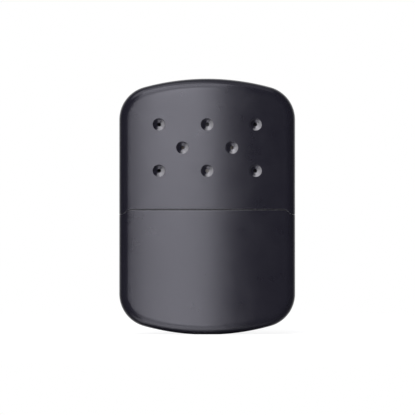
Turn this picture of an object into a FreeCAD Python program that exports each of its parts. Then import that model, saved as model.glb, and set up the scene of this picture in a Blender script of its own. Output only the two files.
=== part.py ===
"""Catalytic hand warmer: perforated cover, fuel tank, and a pull-off catalyst burner.

Millimetres. +Z up, front face toward -Y, origin at the centre of the base.
"""
import FreeCAD
import Part
import math
import os

os.makedirs("parts", exist_ok=True)
V = FreeCAD.Vector
UP = V(0, 0, 1)

# ---- driving dimensions -------------------------------------------------------------
WIDTH = 68.2            # overall X
DEPTH = 14.5            # overall Y at the middle
HEIGHT = 99.0           # overall Z
WALL = 0.5              # drawn sheet of both shells
END_RADIUS = 94.0       # shallow arc of the top and the bottom
CORNER_RADIUS = 13.0    # outline corners
SIDE_DEPTH = 8.5        # depth of the blank at the narrow sides, before the edge roll
EDGE_ROLL = 4.1         # roll between the faces and the rim
LAND_CUT = 0.13         # flat pressed in the bottom arc so it can stand

SEAM_Z = 48.3           # seam across the faces
SEAM_GAP = 0.35
SEAM_DIP = 1.8          # the seam drops this much at both narrow sides
DIP_RUN = 4.0           # length of the drop along X
DIP_MARGIN = 0.7        # from the end of the drop to the narrow side
RIM_ROUND = 0.2         # broken edge of both shells at the seam

VENT_RADIUS = 2.35      # rim of the dish that a vent is pressed into
VENT_DISH = 1.15        # the ball that presses the dish reaches this deep
VENT_OPENING = 0.55     # clear radius at the bottom of the dish
VENT_EDGE = 0.25        # broken edge between face and dish
VENT_COLUMN = 18.7
VENT_MID_COLUMN = 9.55
VENT_RISE = 15.0        # lowest row above the seam
VENT_PITCH = 8.95       # row to row

COLLAR_SHEET = 0.4
COLLAR_CLEAR = 0.25     # collar wall to cover, radial
COLLAR_RISE = 10.2      # deck above the seam
COLLAR_DROP = 10.3      # skirt of the collar below the seam
JOGGLE_DROP = 2.9       # the collar steps in this far below the seam
DECK_ROUND = 1.3
RIB_STAND = 0.22        # grip ribs, they leave a running fit to the cover
RIB_WIDTH = 2.4
RIB_X = 21.0
RIB_LENGTH = 5.4

NECK_HALF_X = 13.1      # filler neck, outside
NECK_HALF_Y = 4.2
NECK_SHEET = 0.4
NECK_RISE = 6.5         # above the deck
NECK_DROP = 3.5         # below the deck
NECK_FLANGE = 1.1
BEAD_DROP = 1.8         # bead below the mouth of the neck
BEAD_STAND = 0.25
BEAD_HALF = 0.45
GAUZE_DROP = 4.4        # gauze below the mouth of the neck
GAUZE_SKIRT = 1.2
GAUZE_SHEET = 0.3
GAUZE_HOLE = 0.55
GAUZE_PITCH = 1.75
RING_WIRE = 0.7
RING_GAP = 1.6

BATTING_GAP = 0.03
FOLD_PITCH = 4.8
FOLD_BRIDGE = 1.5       # cotton left uncut at the end of every fold
FOLD_SLIT = 0.35
WICK_LENGTH = 14.6

NECK_ROOM = 0.7         # between neck and burner skirt, the clips fill it
BURNER_SHEET = 0.4
BURNER_SEAT = 0.7       # skirt edge above the deck
SKIRT_OVER = 1.4        # skirt ends this far above the neck
CAGE_INSET = 0.6        # the cage above the skirt is this much slimmer all round
JOGGLE_RISE = 0.8
CAGE_HEIGHT = 12.4
BURNER_ROUND = 1.6
WINDOW_WIDTH = 4.4
WINDOW_HEIGHT = 6.4
WINDOW_BAR = 1.5        # metal between two windows
WINDOW_ROUND = 1.0
SLOT_WIDTH = 2.0
SLOT_LENGTH = 4.6
SLOT_BAR = 2.7
LAYER_GAP = 0.02
GUARD_SHEET = 0.25
GUARD_HOLE = 0.5
GUARD_PITCH = 1.45
MAT_THICKNESS = 1.35
SUPPORT_SHEET = 0.3
SUPPORT_HOLE = 0.7
SUPPORT_PITCH = 2.1
FRAME_SHEET = 0.4
FRAME_HEIGHT = 1.6
FRAME_FLANGE = 2.3

CLIP_SHEET = 0.25
CLIP_LENGTH = 11.0
CLIP_CLEAR = 0.05       # between the bow of a clip and the neck bead
CLIP_TOE = 0.12         # the lower end stands this far off the skirt
RIVET_X = 3.6
RIVET_DROP = 1.2        # rivet centre below the top of the skirt
RIVET_SHANK = 0.45
RIVET_HEAD = 0.8
RIVET_HEAD_HEIGHT = 0.25

# ---- derived ------------------------------------------------------------------------
HALF_W = WIDTH / 2
HALF_D = DEPTH / 2
SAG = HALF_D - SIDE_DEPTH / 2
FACE_RADIUS = (HALF_W ** 2 + SAG ** 2) / (2 * SAG)
BEYOND = 20.0           # tools reach this far past the work
DIP_START = HALF_W - DIP_MARGIN - DIP_RUN
VENT_BALL = (VENT_RADIUS ** 2 + VENT_DISH ** 2) / (2 * VENT_DISH)
VENT_ROWS = [SEAM_Z + VENT_RISE + row * VENT_PITCH for row in range(3)]
COLLAR_LOW = WALL + LAYER_GAP
COLLAR_HIGH = WALL + COLLAR_CLEAR
COLLAR_BOTTOM = SEAM_Z - COLLAR_DROP
JOGGLE_Z = SEAM_Z - JOGGLE_DROP
DECK_TOP = SEAM_Z + COLLAR_RISE
RIB_BOTTOM = SEAM_Z + (COLLAR_RISE - DECK_ROUND - RIB_LENGTH) * 0.75
NECK_TOP = DECK_TOP + NECK_RISE
NECK_BOTTOM = DECK_TOP - NECK_DROP
BEAD_Z = NECK_TOP - BEAD_DROP
GAUZE_Z = NECK_TOP - GAUZE_DROP
BATTING_TOP = DECK_TOP - COLLAR_SHEET - DECK_ROUND
WICK_BOTTOM = GAUZE_Z - WICK_LENGTH
SKIRT_HALF_X = NECK_HALF_X + NECK_ROOM + BURNER_SHEET
SKIRT_HALF_Y = NECK_HALF_Y + NECK_ROOM + BURNER_SHEET
SKIRT_TOP = NECK_TOP + SKIRT_OVER
BURNER_BOTTOM = DECK_TOP + BURNER_SEAT
CAGE_HALF_X = SKIRT_HALF_X - CAGE_INSET
CAGE_HALF_Y = SKIRT_HALF_Y - CAGE_INSET
CAGE_BOTTOM = SKIRT_TOP + JOGGLE_RISE
BURNER_TOP = CAGE_BOTTOM + CAGE_HEIGHT
WINDOW_Z = CAGE_BOTTOM + CAGE_HEIGHT / 2
LAYER_BOTTOM = CAGE_BOTTOM + FRAME_HEIGHT
RIVET_Z = SKIRT_TOP - RIVET_DROP


# ---- sketch helpers -----------------------------------------------------------------
def save(shape, node):
    """Write one node; a single solid is taken out of its compound."""
    if len(shape.Solids) == 1:
        shape = shape.Solids[0]
    if not shape.isValid():
        raise ValueError(node + " is not valid")
    shape.exportStep(os.path.join("parts", node + ".step"))
    print(node, len(shape.Solids), round(shape.Volume, 2))


def slab(z_low, z_high):
    """Return a block over the whole plan between two heights."""
    size = WIDTH + 2 * BEYOND
    return Part.makeBox(size, size, z_high - z_low, V(-size / 2, -size / 2, z_low))


def polar(centre_x, centre_z, radius, angle, y=0.0):
    """Return a point on a circle in the XZ plane, angle taken from +Z toward +X."""
    return V(centre_x + radius * math.sin(angle), y, centre_z + radius * math.cos(angle))


def stadium(half_x, half_y, z_low, z_high):
    """Return an upright prism with straight long sides and round ends."""
    flat = half_x - half_y
    edges = [
        Part.makeLine(V(-flat, -half_y, z_low), V(flat, -half_y, z_low)),
        Part.Arc(V(flat, -half_y, z_low), V(half_x, 0, z_low), V(flat, half_y, z_low)).toShape(),
        Part.makeLine(V(flat, half_y, z_low), V(-flat, half_y, z_low)),
        Part.Arc(V(-flat, half_y, z_low), V(-half_x, 0, z_low), V(-flat, -half_y, z_low)).toShape(),
    ]
    return Part.Face(Part.Wire(edges)).extrude(UP * (z_high - z_low))


def edges_at(shape, z):
    """Return the edges of a shape that lie in one horizontal plane."""
    return [e for e in shape.Edges if abs(e.BoundBox.ZMin - z) < 1e-4 and abs(e.BoundBox.ZMax - z) < 1e-4]


def domed(half_x, half_y, z_low, z_high, roll):
    """Return a stadium prism with its top edge rolled over."""
    solid = stadium(half_x, half_y, z_low, z_high)
    return solid.makeFillet(roll, edges_at(solid, z_high))


def inverted_cup(half_x, half_y, z_low, z_high, sheet, roll):
    """Return a stadium cup, open below, of even sheet."""
    outside = domed(half_x, half_y, z_low, z_high, roll)
    inside = domed(half_x - sheet, half_y - sheet, z_low - 1, z_high - sheet, max(roll - sheet, 0.2))
    return outside.cut(inside)


def spread(count, pitch):
    """Return evenly spaced positions centred on zero."""
    return [(index - (count - 1) / 2) * pitch for index in range(count)]


def spread_in(reach, pitch):
    """Return as many evenly spaced positions as a half length takes."""
    return spread(1 + 2 * int(reach / pitch), pitch)


# ---- the pebble form both shells are drawn to ---------------------------------------
def outline_face(inset, y):
    """Return the front outline, moved inward by inset, as a face in the plane Y = y."""
    half = HALF_W - inset
    end = END_RADIUS - inset
    corner = CORNER_RADIUS - inset
    drop = end - math.sqrt((end - corner) ** 2 - (half - corner) ** 2)
    lean = math.atan2(half - corner, end - drop)
    middle = (lean + math.pi / 2) / 2
    top = HEIGHT - inset

    def upper(side):
        join = polar(0, top - end, end, side * lean, y)
        bend = polar(side * (half - corner), top - drop, corner, side * middle, y)
        return join, bend, V(side * half, y, top - drop)

    def lower(side):
        return [V(p.x, y, HEIGHT - LAND_CUT - p.z) for p in upper(side)]

    right, left = upper(1), upper(-1)
    low_right, low_left = lower(1), lower(-1)
    edges = [
        Part.Arc(left[0], V(0, y, top), right[0]).toShape(),
        Part.Arc(*right).toShape(),
        Part.makeLine(right[2], low_right[2]),
        Part.Arc(low_right[2], low_right[1], low_right[0]).toShape(),
        Part.Arc(low_right[0], V(0, y, HEIGHT - LAND_CUT - top), low_left[0]).toShape(),
        Part.Arc(*low_left).toShape(),
        Part.makeLine(low_left[2], left[2]),
        Part.Arc(left[2], left[1], left[0]).toShape(),
    ]
    return Part.Face(Part.Wire(edges))


def faces_prism(inset):
    """Return the upright prism between the two curved faces."""
    radius = FACE_RADIUS - inset
    crown = HALF_D - inset
    reach = HALF_W + 4
    edge = crown - radius + math.sqrt(radius ** 2 - reach ** 2)
    low = -BEYOND
    edges = [
        Part.Arc(V(-reach, -edge, low), V(0, -crown, low), V(reach, -edge, low)).toShape(),
        Part.makeLine(V(reach, -edge, low), V(reach, edge, low)),
        Part.Arc(V(reach, edge, low), V(0, crown, low), V(-reach, edge, low)).toShape(),
        Part.makeLine(V(-reach, edge, low), V(-reach, -edge, low)),
    ]
    return Part.Face(Part.Wire(edges)).extrude(UP * (HEIGHT + 2 * BEYOND))


def pebble(inset):
    """Return the whole outer form moved inward by inset, with its edge roll."""
    prism = outline_face(inset, -BEYOND).extrude(V(0, 2 * BEYOND, 0))
    blank = prism.common(faces_prism(inset)).Solids[0]
    rims = [e for e in blank.Edges if e.BoundBox.YMin * e.BoundBox.YMax > 0]
    return blank.makeFillet(EDGE_ROLL - inset, rims).Solids[0]


def face_y(x, inset):
    """Return how far the curved face stands from the middle plane at x."""
    radius = FACE_RADIUS - inset
    return HALF_D - inset - radius + math.sqrt(radius ** 2 - x ** 2)


def seam_tool(shift, upward):
    """Return the block above (or below) the seam line, shifted in Z."""
    y = -BEYOND
    far = HALF_W + BEYOND
    z = SEAM_Z + shift
    rise = (DIP_RUN ** 2 / 4 + SEAM_DIP ** 2 / 4) / SEAM_DIP
    turn = math.asin(DIP_RUN / 2 / rise)
    end = HEIGHT + BEYOND if upward else -BEYOND

    def half(side):
        start = V(side * DIP_START, y, z)
        middle = V(side * (DIP_START + DIP_RUN / 2), y, z - SEAM_DIP / 2)
        stop = V(side * (DIP_START + DIP_RUN), y, z - SEAM_DIP)
        first = polar(side * DIP_START, z - rise, rise, side * turn / 2, y)
        second = polar(side * (DIP_START + DIP_RUN), z - SEAM_DIP + rise, rise, math.pi + side * turn / 2, y)
        out = V(side * far, y, z - SEAM_DIP)
        return [
            Part.Arc(start, first, middle).toShape(),
            Part.Arc(middle, second, stop).toShape(),
            Part.makeLine(stop, out),
            Part.makeLine(out, V(side * far, y, end)),
        ]

    edges = [Part.makeLine(V(-DIP_START, y, z), V(DIP_START, y, z))]
    edges += half(1) + half(-1)
    edges.append(Part.makeLine(V(far, y, end), V(-far, y, end)))
    face = Part.Face(Part.Wire(Part.__sortEdges__(edges)))
    return face.extrude(V(0, 2 * BEYOND, 0))


def break_rim(shell, outer_form):
    """Round the outer edge that the seam cut left on a shell."""
    low = SEAM_Z - SEAM_DIP - 1
    high = SEAM_Z + 1
    rim = []
    for edge in shell.Edges:
        box = edge.BoundBox
        if box.ZMin < low or box.ZMax > high:
            continue
        point = edge.valueAt((edge.FirstParameter + edge.LastParameter) / 2)
        if outer_form.distToShape(Part.Vertex(point))[0] < 1e-3:
            rim.append(edge)
    return shell.makeFillet(RIM_ROUND, rim)


# ---- vents --------------------------------------------------------------------------
def vent_frame(x, z):
    """Return the placement of a vent: its axis is the front face normal at (x, z)."""
    lean = math.degrees(math.asin(x / FACE_RADIUS))
    return FreeCAD.Placement(V(x, -face_y(x, 0), z), FreeCAD.Rotation(UP, lean))


def drill(frame, radius, start, stop):
    """Return a cylinder about a vent axis between two depths below the face."""
    axis = frame.Rotation.multVec(V(0, 1, 0))
    return Part.makeCylinder(radius, stop - start, frame.Base + axis * start, axis)


def vent_ball(frame, grow):
    """Return the ball that a vent's dish is pressed to, grown by this much."""
    axis = frame.Rotation.multVec(V(0, 1, 0))
    return Part.makeSphere(VENT_BALL + grow, frame.Base - axis * (VENT_BALL - VENT_DISH))


def rim_edges(shell, frame):
    """Return the round edges between the face and a vent's dish."""
    found = []
    for edge in shell.Edges:
        arm = edge.valueAt((edge.FirstParameter + edge.LastParameter) / 2) - frame.Base
        along = arm.dot(frame.Rotation.multVec(V(0, 1, 0)))
        if abs(along) < VENT_EDGE / 2 and abs(arm.Length - VENT_RADIUS) < VENT_EDGE / 2:
            found.append(edge)
    return found


def vent_places():
    """Return the (x, z) of the eight vents."""
    low, middle, high = VENT_ROWS
    outer = [(x, z) for z in (low, high) for x in (-VENT_COLUMN, 0, VENT_COLUMN)]
    return outer + [(x, middle) for x in (-VENT_MID_COLUMN, VENT_MID_COLUMN)]


# ---- shells -------------------------------------------------------------------------
def hollow_form():
    """Return the closed form and its closed hollow."""
    land = slab(-BEYOND, 0)
    return pebble(0).cut(land), pebble(WALL).cut(slab(-BEYOND, WALL))


def cover_shell(outer, inner):
    """Return the perforated cover: the upper half of the shell, vented on the front."""
    shell = outer.cut(inner).common(seam_tool(SEAM_GAP / 2, True)).Solids[0]
    shell = break_rim(shell, outer.Shells[0])
    frames = [vent_frame(x, z) for x, z in vent_places()]
    behind = VENT_BALL + WALL
    metal = [vent_ball(frame, WALL).common(drill(frame, behind, WALL / 2, behind)) for frame in frames]
    shell = shell.fuse(metal).cut([vent_ball(frame, 0) for frame in frames])
    shell = shell.cut([drill(frame, VENT_OPENING, -WALL, VENT_BALL) for frame in frames])
    return shell.makeFillet(VENT_EDGE, [edge for frame in frames for edge in rim_edges(shell, frame)])


def tank_shell(outer, inner):
    """Return the tank cup: the lower half of the shell."""
    shell = outer.cut(inner).common(seam_tool(-SEAM_GAP / 2, False)).Solids[0]
    return break_rim(shell, outer.Shells[0])


# ---- tank top -----------------------------------------------------------------------
def collar_form(inset, z_low, z_high, roll):
    """Return the plan of the form as a prism with a rolled top edge."""
    block = pebble(inset).common(slab(z_low, z_high)).Solids[0]
    return block.makeFillet(roll, edges_at(block, z_high))


def tank_collar():
    """Return the drawn collar: skirt in the tank, spigot for the cover, deck on top."""
    spigot = collar_form(COLLAR_HIGH, JOGGLE_Z, DECK_TOP, DECK_ROUND)
    skirt = pebble(COLLAR_LOW).common(slab(COLLAR_BOTTOM, JOGGLE_Z + COLLAR_SHEET)).Solids[0]
    body = spigot.fuse(skirt)
    ceiling = DECK_TOP - COLLAR_SHEET
    upper = collar_form(COLLAR_HIGH + COLLAR_SHEET, COLLAR_BOTTOM - 1, ceiling, DECK_ROUND - COLLAR_SHEET)
    lower = pebble(COLLAR_LOW + COLLAR_SHEET).common(slab(COLLAR_BOTTOM - 1, JOGGLE_Z))
    body = body.cut(upper).cut(lower)
    body = body.fuse([rib(x, side) for x in (-RIB_X, RIB_X) for side in (-1, 1)])
    hole = stadium(NECK_HALF_X + LAYER_GAP, NECK_HALF_Y + LAYER_GAP, DECK_TOP - NECK_DROP, DECK_TOP + WALL)
    return body.cut(hole).removeSplitter()


def rib(x, side):
    """Return one vertical grip rib pressed out of the spigot wall."""
    radius = ((RIB_WIDTH / 2) ** 2 + RIB_STAND ** 2) / (2 * RIB_STAND)
    spine = face_y(x, COLLAR_HIGH - RIB_STAND) - radius
    bar = Part.makeCylinder(radius, RIB_LENGTH, V(x, side * spine, RIB_BOTTOM))
    ends = edges_at(bar, RIB_BOTTOM + RIB_LENGTH) + edges_at(bar, RIB_BOTTOM)
    return bar.makeChamfer(RIB_STAND * 0.9, ends).cut(pebble(COLLAR_HIGH + COLLAR_SHEET / 2)).Solids[0]


def filler_neck():
    """Return the oval filler neck with its flange and retaining bead."""
    tube = stadium(NECK_HALF_X, NECK_HALF_Y, NECK_BOTTOM, NECK_TOP)
    flange = stadium(NECK_HALF_X + NECK_FLANGE, NECK_HALF_Y + NECK_FLANGE, DECK_TOP, DECK_TOP + NECK_SHEET)
    flange = flange.makeChamfer(NECK_SHEET * 0.4, edges_at(flange, DECK_TOP + NECK_SHEET))
    low, high = BEAD_Z - BEAD_HALF, BEAD_Z + BEAD_HALF
    bead = stadium(NECK_HALF_X + BEAD_STAND, NECK_HALF_Y + BEAD_STAND, low, high)
    for z in (low, high):
        bead = bead.makeChamfer(BEAD_STAND * 0.9, edges_at(bead, z))
    bore = stadium(NECK_HALF_X - NECK_SHEET, NECK_HALF_Y - NECK_SHEET, NECK_BOTTOM - 1, NECK_TOP + 1)
    neck = tube.fuse([flange, bead]).cut(bore)
    return neck.makeFillet(NECK_SHEET * 0.4, edges_at(neck, NECK_TOP))


def grid(reach_x, reach_y, pitch):
    """Return staggered grid positions with rows along the first axis."""
    places = []
    for row, y in enumerate(spread_in(reach_y, pitch * 0.866)):
        shift = pitch / 2 if row % 2 else 0
        places += [(x + shift, y) for x in spread_in(reach_x, pitch) if abs(x + shift) <= reach_x]
    return places


def neck_gauze():
    """Return the perforated sheet in the neck, turned down at its rim."""
    half_x = NECK_HALF_X - NECK_SHEET
    half_y = NECK_HALF_Y - NECK_SHEET
    round_over = 1.5 * GAUZE_SHEET
    plate = inverted_cup(half_x, half_y, GAUZE_Z - GAUZE_SKIRT, GAUZE_Z + GAUZE_SHEET, GAUZE_SHEET, round_over)
    rim = round_over + 2 * GAUZE_HOLE
    field = stadium(half_x - rim, half_y - rim, GAUZE_Z - WALL, GAUZE_Z + WALL)
    holes = []
    for x, y in grid(half_x, half_y, GAUZE_PITCH):
        if field.isInside(V(x, y, GAUZE_Z), 1e-3, True):
            holes.append(Part.makeCylinder(GAUZE_HOLE, 2 * WALL, V(x, y, GAUZE_Z - WALL)))
    return plate.cut(holes)


def gauze_ring():
    """Return the sprung wire ring that holds the gauze down."""
    radius = RING_WIRE / 2
    half_x = NECK_HALF_X - NECK_SHEET - radius
    half_y = NECK_HALF_Y - NECK_SHEET - radius
    flat = half_x - half_y
    z = GAUZE_Z + GAUZE_SHEET + radius
    path = Part.Wire([
        Part.makeLine(V(RING_GAP / 2, -half_y, z), V(flat, -half_y, z)),
        Part.Arc(V(flat, -half_y, z), V(half_x, 0, z), V(flat, half_y, z)).toShape(),
        Part.makeLine(V(flat, half_y, z), V(-flat, half_y, z)),
        Part.Arc(V(-flat, half_y, z), V(-half_x, 0, z), V(-flat, -half_y, z)).toShape(),
        Part.makeLine(V(-flat, -half_y, z), V(-RING_GAP / 2, -half_y, z)),
    ])
    section = Part.Wire(Part.makeCircle(radius, V(RING_GAP / 2, -half_y, z), V(1, 0, 0)))
    return path.makePipeShell([section], True, True)


# ---- fuel absorber ------------------------------------------------------------------
def felt_wick():
    """Return the felt pad that stands in the neck under the gauze."""
    half_x = NECK_HALF_X - NECK_SHEET - GAUZE_SHEET - BATTING_GAP
    half_y = NECK_HALF_Y - NECK_SHEET - GAUZE_SHEET - BATTING_GAP
    return domed(half_x, half_y, WICK_BOTTOM, GAUZE_Z - LAYER_GAP, 0.2)


def cotton_batting():
    """Return the folded cotton strip: folds stand side by side and fill the tank."""
    form = pebble(COLLAR_HIGH + COLLAR_SHEET + BATTING_GAP)
    body = form.common(slab(WALL + COLLAR_SHEET, BATTING_TOP)).Solids[0]
    slits = []
    for index, x in enumerate(spread_in(HALF_W - EDGE_ROLL, FOLD_PITCH)):
        bridge = face_y(x, COLLAR_HIGH + COLLAR_SHEET) - FOLD_BRIDGE
        y = -HALF_D if index % 2 else -bridge
        slits.append(Part.makeBox(FOLD_SLIT, HALF_D + bridge, HEIGHT, V(x - FOLD_SLIT / 2, y, -HEIGHT / 4)))
    pocket = stadium(NECK_HALF_X + BATTING_GAP, NECK_HALF_Y + BATTING_GAP, WICK_BOTTOM - LAYER_GAP, HEIGHT)
    return body.cut(slits).cut(pocket)


# ---- burner -------------------------------------------------------------------------
def rounded_window(width, height, depth, roll):
    """Return a rounded bar along +Y, centred, used to punch one window."""
    bar = Part.makeBox(width, depth, height, V(-width / 2, -depth / 2, -height / 2))
    along = [e for e in bar.Edges if abs(e.Vertexes[0].Y - e.Vertexes[1].Y) > depth / 2]
    return bar.makeFillet(roll, along)


def window_tools():
    """Return the tools for the side windows, the end windows and the top slots."""
    tools = []
    pitch = WINDOW_WIDTH + WINDOW_BAR
    for x in spread(2 * round((CAGE_HALF_X - CAGE_HALF_Y) / pitch + 0.5), pitch):
        bar = rounded_window(WINDOW_WIDTH, WINDOW_HEIGHT, DEPTH, WINDOW_ROUND)
        bar.translate(V(x, 0, WINDOW_Z))
        tools.append(bar)
    end = rounded_window(WINDOW_WIDTH, WINDOW_HEIGHT, WIDTH, WINDOW_ROUND)
    end.rotate(V(0, 0, 0), UP, 90)
    end.translate(V(0, 0, WINDOW_Z))
    tools.append(end)
    for x in spread_in(CAGE_HALF_X - SLOT_BAR, SLOT_WIDTH + SLOT_BAR):
        slot = rounded_window(SLOT_WIDTH, SLOT_LENGTH, CAGE_INSET * 4, SLOT_WIDTH * 0.475)
        slot.rotate(V(0, 0, 0), V(1, 0, 0), 90)
        slot.translate(V(x, 0, BURNER_TOP))
        tools.append(slot)
    return tools


def stepped_housing(inset, z_low, z_high, roll):
    """Return the housing form: wide skirt, slanted joggle, slimmer rolled cage."""
    skirt = stadium(SKIRT_HALF_X - inset, SKIRT_HALF_Y - inset, z_low, CAGE_BOTTOM)
    step = min(CAGE_INSET, JOGGLE_RISE)
    skirt = skirt.makeChamfer(step, edges_at(skirt, CAGE_BOTTOM))
    cage = domed(CAGE_HALF_X - inset, CAGE_HALF_Y - inset, CAGE_BOTTOM - step, z_high, roll)
    return skirt.fuse(cage)


def burner_housing():
    """Return the drawn stainless housing with skirt, windows and top slots."""
    outside = stepped_housing(0, BURNER_BOTTOM, BURNER_TOP, BURNER_ROUND)
    ceiling = BURNER_TOP - BURNER_SHEET
    inside = stepped_housing(BURNER_SHEET, BURNER_BOTTOM - 1, ceiling, BURNER_ROUND - BURNER_SHEET)
    housing = outside.cut(inside).cut(window_tools())
    rivets = []
    for x in (-RIVET_X, RIVET_X):
        rivets.append(Part.makeCylinder(RIVET_SHANK, DEPTH, V(x, -HALF_D, RIVET_Z), V(0, 1, 0)))
    return housing.cut(rivets).removeSplitter()


def layer(inset, sheet):
    """Return one inverted-cup layer of the catalyst pack, inset from the cage."""
    roll = max(BURNER_ROUND - inset, sheet)
    return inverted_cup(CAGE_HALF_X - inset, CAGE_HALF_Y - inset, LAYER_BOTTOM, BURNER_TOP - inset, sheet, roll)


def perforations(inset, radius, pitch):
    """Return the punch tools for the long sides and the top of a layer."""
    flat = CAGE_HALF_X - CAGE_HALF_Y
    low = LAYER_BOTTOM + 2 * radius
    high = BURNER_TOP - inset - BURNER_ROUND - radius
    tools = []
    for x, z in grid(flat, (high - low) / 2 + radius, pitch):
        tools.append(Part.makeCylinder(radius, DEPTH, V(x, -HALF_D, (low + high) / 2 + z), V(0, 1, 0)))
    for x, y in grid(flat, CAGE_HALF_Y - inset - BURNER_ROUND, pitch):
        tools.append(Part.makeCylinder(radius, BURNER_ROUND, V(x, y, BURNER_TOP - inset - BURNER_ROUND / 2)))
    return tools


def catalyst_pack():
    """Return guard mesh, catalyst mat and support mesh, nested without overlap."""
    guard_inset = BURNER_SHEET + LAYER_GAP
    mat_inset = guard_inset + GUARD_SHEET + LAYER_GAP
    support_inset = mat_inset + MAT_THICKNESS + LAYER_GAP
    guard = layer(guard_inset, GUARD_SHEET).cut(perforations(guard_inset, GUARD_HOLE, GUARD_PITCH))
    support = layer(support_inset, SUPPORT_SHEET).cut(perforations(support_inset, SUPPORT_HOLE, SUPPORT_PITCH))
    return guard, layer(mat_inset, MAT_THICKNESS), support


def mesh_frame():
    """Return the angle-section ring that holds the catalyst pack up in the cage."""
    gap = BURNER_SHEET + LAYER_GAP
    half_x = CAGE_HALF_X - gap
    half_y = CAGE_HALF_Y - gap
    top = LAYER_BOTTOM - LAYER_GAP
    low = CAGE_BOTTOM + LAYER_GAP
    solid = stadium(half_x, half_y, low, top)
    hollow = stadium(half_x - FRAME_SHEET, half_y - FRAME_SHEET, low - 1, top - FRAME_SHEET)
    way = stadium(half_x - FRAME_FLANGE, half_y - FRAME_FLANGE, low - 1, top + 1)
    return solid.cut(hollow).cut(way)


def burner_clip(side):
    """Return one leaf spring: held at the top, bowed in under the neck bead."""
    wall = SKIRT_HALF_Y - BURNER_SHEET
    bow = NECK_HALF_Y + BEAD_STAND + CLIP_CLEAR
    foot = BURNER_BOTTOM + RIVET_HEAD
    hold = RIVET_Z - 1.5 * RIVET_HEAD

    def line(shift):
        low = V(0, wall - CLIP_TOE - shift, foot)
        deep = V(0, bow + CLIP_SHEET - shift, (foot + hold) / 2)
        bend = V(0, wall - shift, hold)
        top = V(0, wall - shift, RIVET_Z + 1.25 * RIVET_HEAD)
        return [Part.Arc(low, deep, bend).toShape(), Part.makeLine(bend, top)], low, top

    outer, low_out, top_out = line(0)
    inner, low_in, top_in = line(CLIP_SHEET)
    edges = outer + inner + [Part.makeLine(low_out, low_in), Part.makeLine(top_out, top_in)]
    strip = Part.Face(Part.Wire(Part.__sortEdges__(edges))).extrude(V(CLIP_LENGTH, 0, 0))
    strip.translate(V(-CLIP_LENGTH / 2, 0, 0))
    for x in (-RIVET_X, RIVET_X):
        strip = strip.cut(Part.makeCylinder(RIVET_SHANK, DEPTH, V(x, 0, RIVET_Z), V(0, 1, 0)))
    if side < 0:
        strip.rotate(V(0, 0, 0), UP, 180)
    return strip


def burner_rivets():
    """Return the four clip rivets with domed outer heads."""
    wall = SKIRT_HALF_Y - BURNER_SHEET - CLIP_SHEET
    rivets = []
    for x in (-RIVET_X, RIVET_X):
        shank = Part.makeCylinder(RIVET_SHANK, SKIRT_HALF_Y - wall, V(x, wall, RIVET_Z), V(0, 1, 0))
        outside = V(x, SKIRT_HALF_Y, RIVET_Z)
        head = Part.makeCone(RIVET_HEAD, RIVET_HEAD * 0.6, RIVET_HEAD_HEIGHT, outside, V(0, 1, 0))
        inside = V(x, wall, RIVET_Z)
        tail = Part.makeCone(RIVET_HEAD * 0.9, RIVET_HEAD * 0.7, RIVET_HEAD_HEIGHT * 0.6, inside, V(0, -1, 0))
        rivet = shank.fuse([head, tail]).removeSplitter()
        rivets.append(rivet)
        rivets.append(rivet.mirror(V(0, 0, 0), V(0, 1, 0)))
    return Part.makeCompound(rivets)


# ---- build --------------------------------------------------------------------------
OUTER, INNER = hollow_form()
save(cover_shell(OUTER, INNER), "cover_shell")
save(tank_shell(OUTER, INNER), "tank_shell")
save(tank_collar(), "tank_collar")
save(filler_neck(), "filler_neck")
save(neck_gauze(), "neck_gauze")
save(gauze_ring(), "gauze_ring")
save(felt_wick(), "felt_wick")
save(cotton_batting(), "cotton_batting")
save(burner_housing(), "burner_housing")
GUARD, MAT, SUPPORT = catalyst_pack()
save(GUARD, "catalyst_guard_mesh")
save(MAT, "catalyst_mat")
save(SUPPORT, "catalyst_support_mesh")
save(mesh_frame(), "mesh_frame")
save(burner_clip(-1), "burner_clip_front")
save(burner_clip(1), "burner_clip_rear")
save(burner_rivets(), "burner_rivets")
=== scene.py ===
"""Catalytic hand warmer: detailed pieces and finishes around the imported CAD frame.

The code counts in millimetres and writes metres into the meshes. +Z is up and the
vented face looks toward -Y. Every sheet-metal piece is one skin of points with
outward normals, which is then given its thickness and rounded borders. Shader
values are in metres, as Blender reads them.
"""
from __future__ import annotations

import logging
import math
from dataclasses import dataclass, field, replace
from enum import Enum
from typing import Any, Callable, Sequence

import bmesh
import bpy
import numpy as np
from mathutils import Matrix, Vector
from mathutils.geometry import delaunay_2d_cdt
from mathutils.noise import fractal

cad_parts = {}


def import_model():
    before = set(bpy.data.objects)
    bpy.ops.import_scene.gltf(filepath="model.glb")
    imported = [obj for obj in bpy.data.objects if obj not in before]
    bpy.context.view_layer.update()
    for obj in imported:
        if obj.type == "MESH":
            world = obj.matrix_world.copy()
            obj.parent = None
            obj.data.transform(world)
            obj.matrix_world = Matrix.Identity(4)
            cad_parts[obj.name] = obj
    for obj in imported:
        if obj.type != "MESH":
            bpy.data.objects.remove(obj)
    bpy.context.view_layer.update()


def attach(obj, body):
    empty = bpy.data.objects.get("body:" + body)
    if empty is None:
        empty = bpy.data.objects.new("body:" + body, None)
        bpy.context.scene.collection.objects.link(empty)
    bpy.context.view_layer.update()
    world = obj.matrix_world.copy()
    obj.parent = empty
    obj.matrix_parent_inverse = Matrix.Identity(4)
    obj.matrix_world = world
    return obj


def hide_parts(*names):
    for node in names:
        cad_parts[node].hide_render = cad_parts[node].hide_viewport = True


log = logging.getLogger("hand_warmer")

Array = np.ndarray
Thing = bpy.types.Object
Mesh = bpy.types.Mesh
Material = bpy.types.Material
Tree = bpy.types.NodeTree
Node = bpy.types.Node
Socket = bpy.types.NodeSocket
Faces = list[tuple[int, ...]]
Plugs = dict[Any, Any]
Colour = tuple[float, float, float, float]

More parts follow.
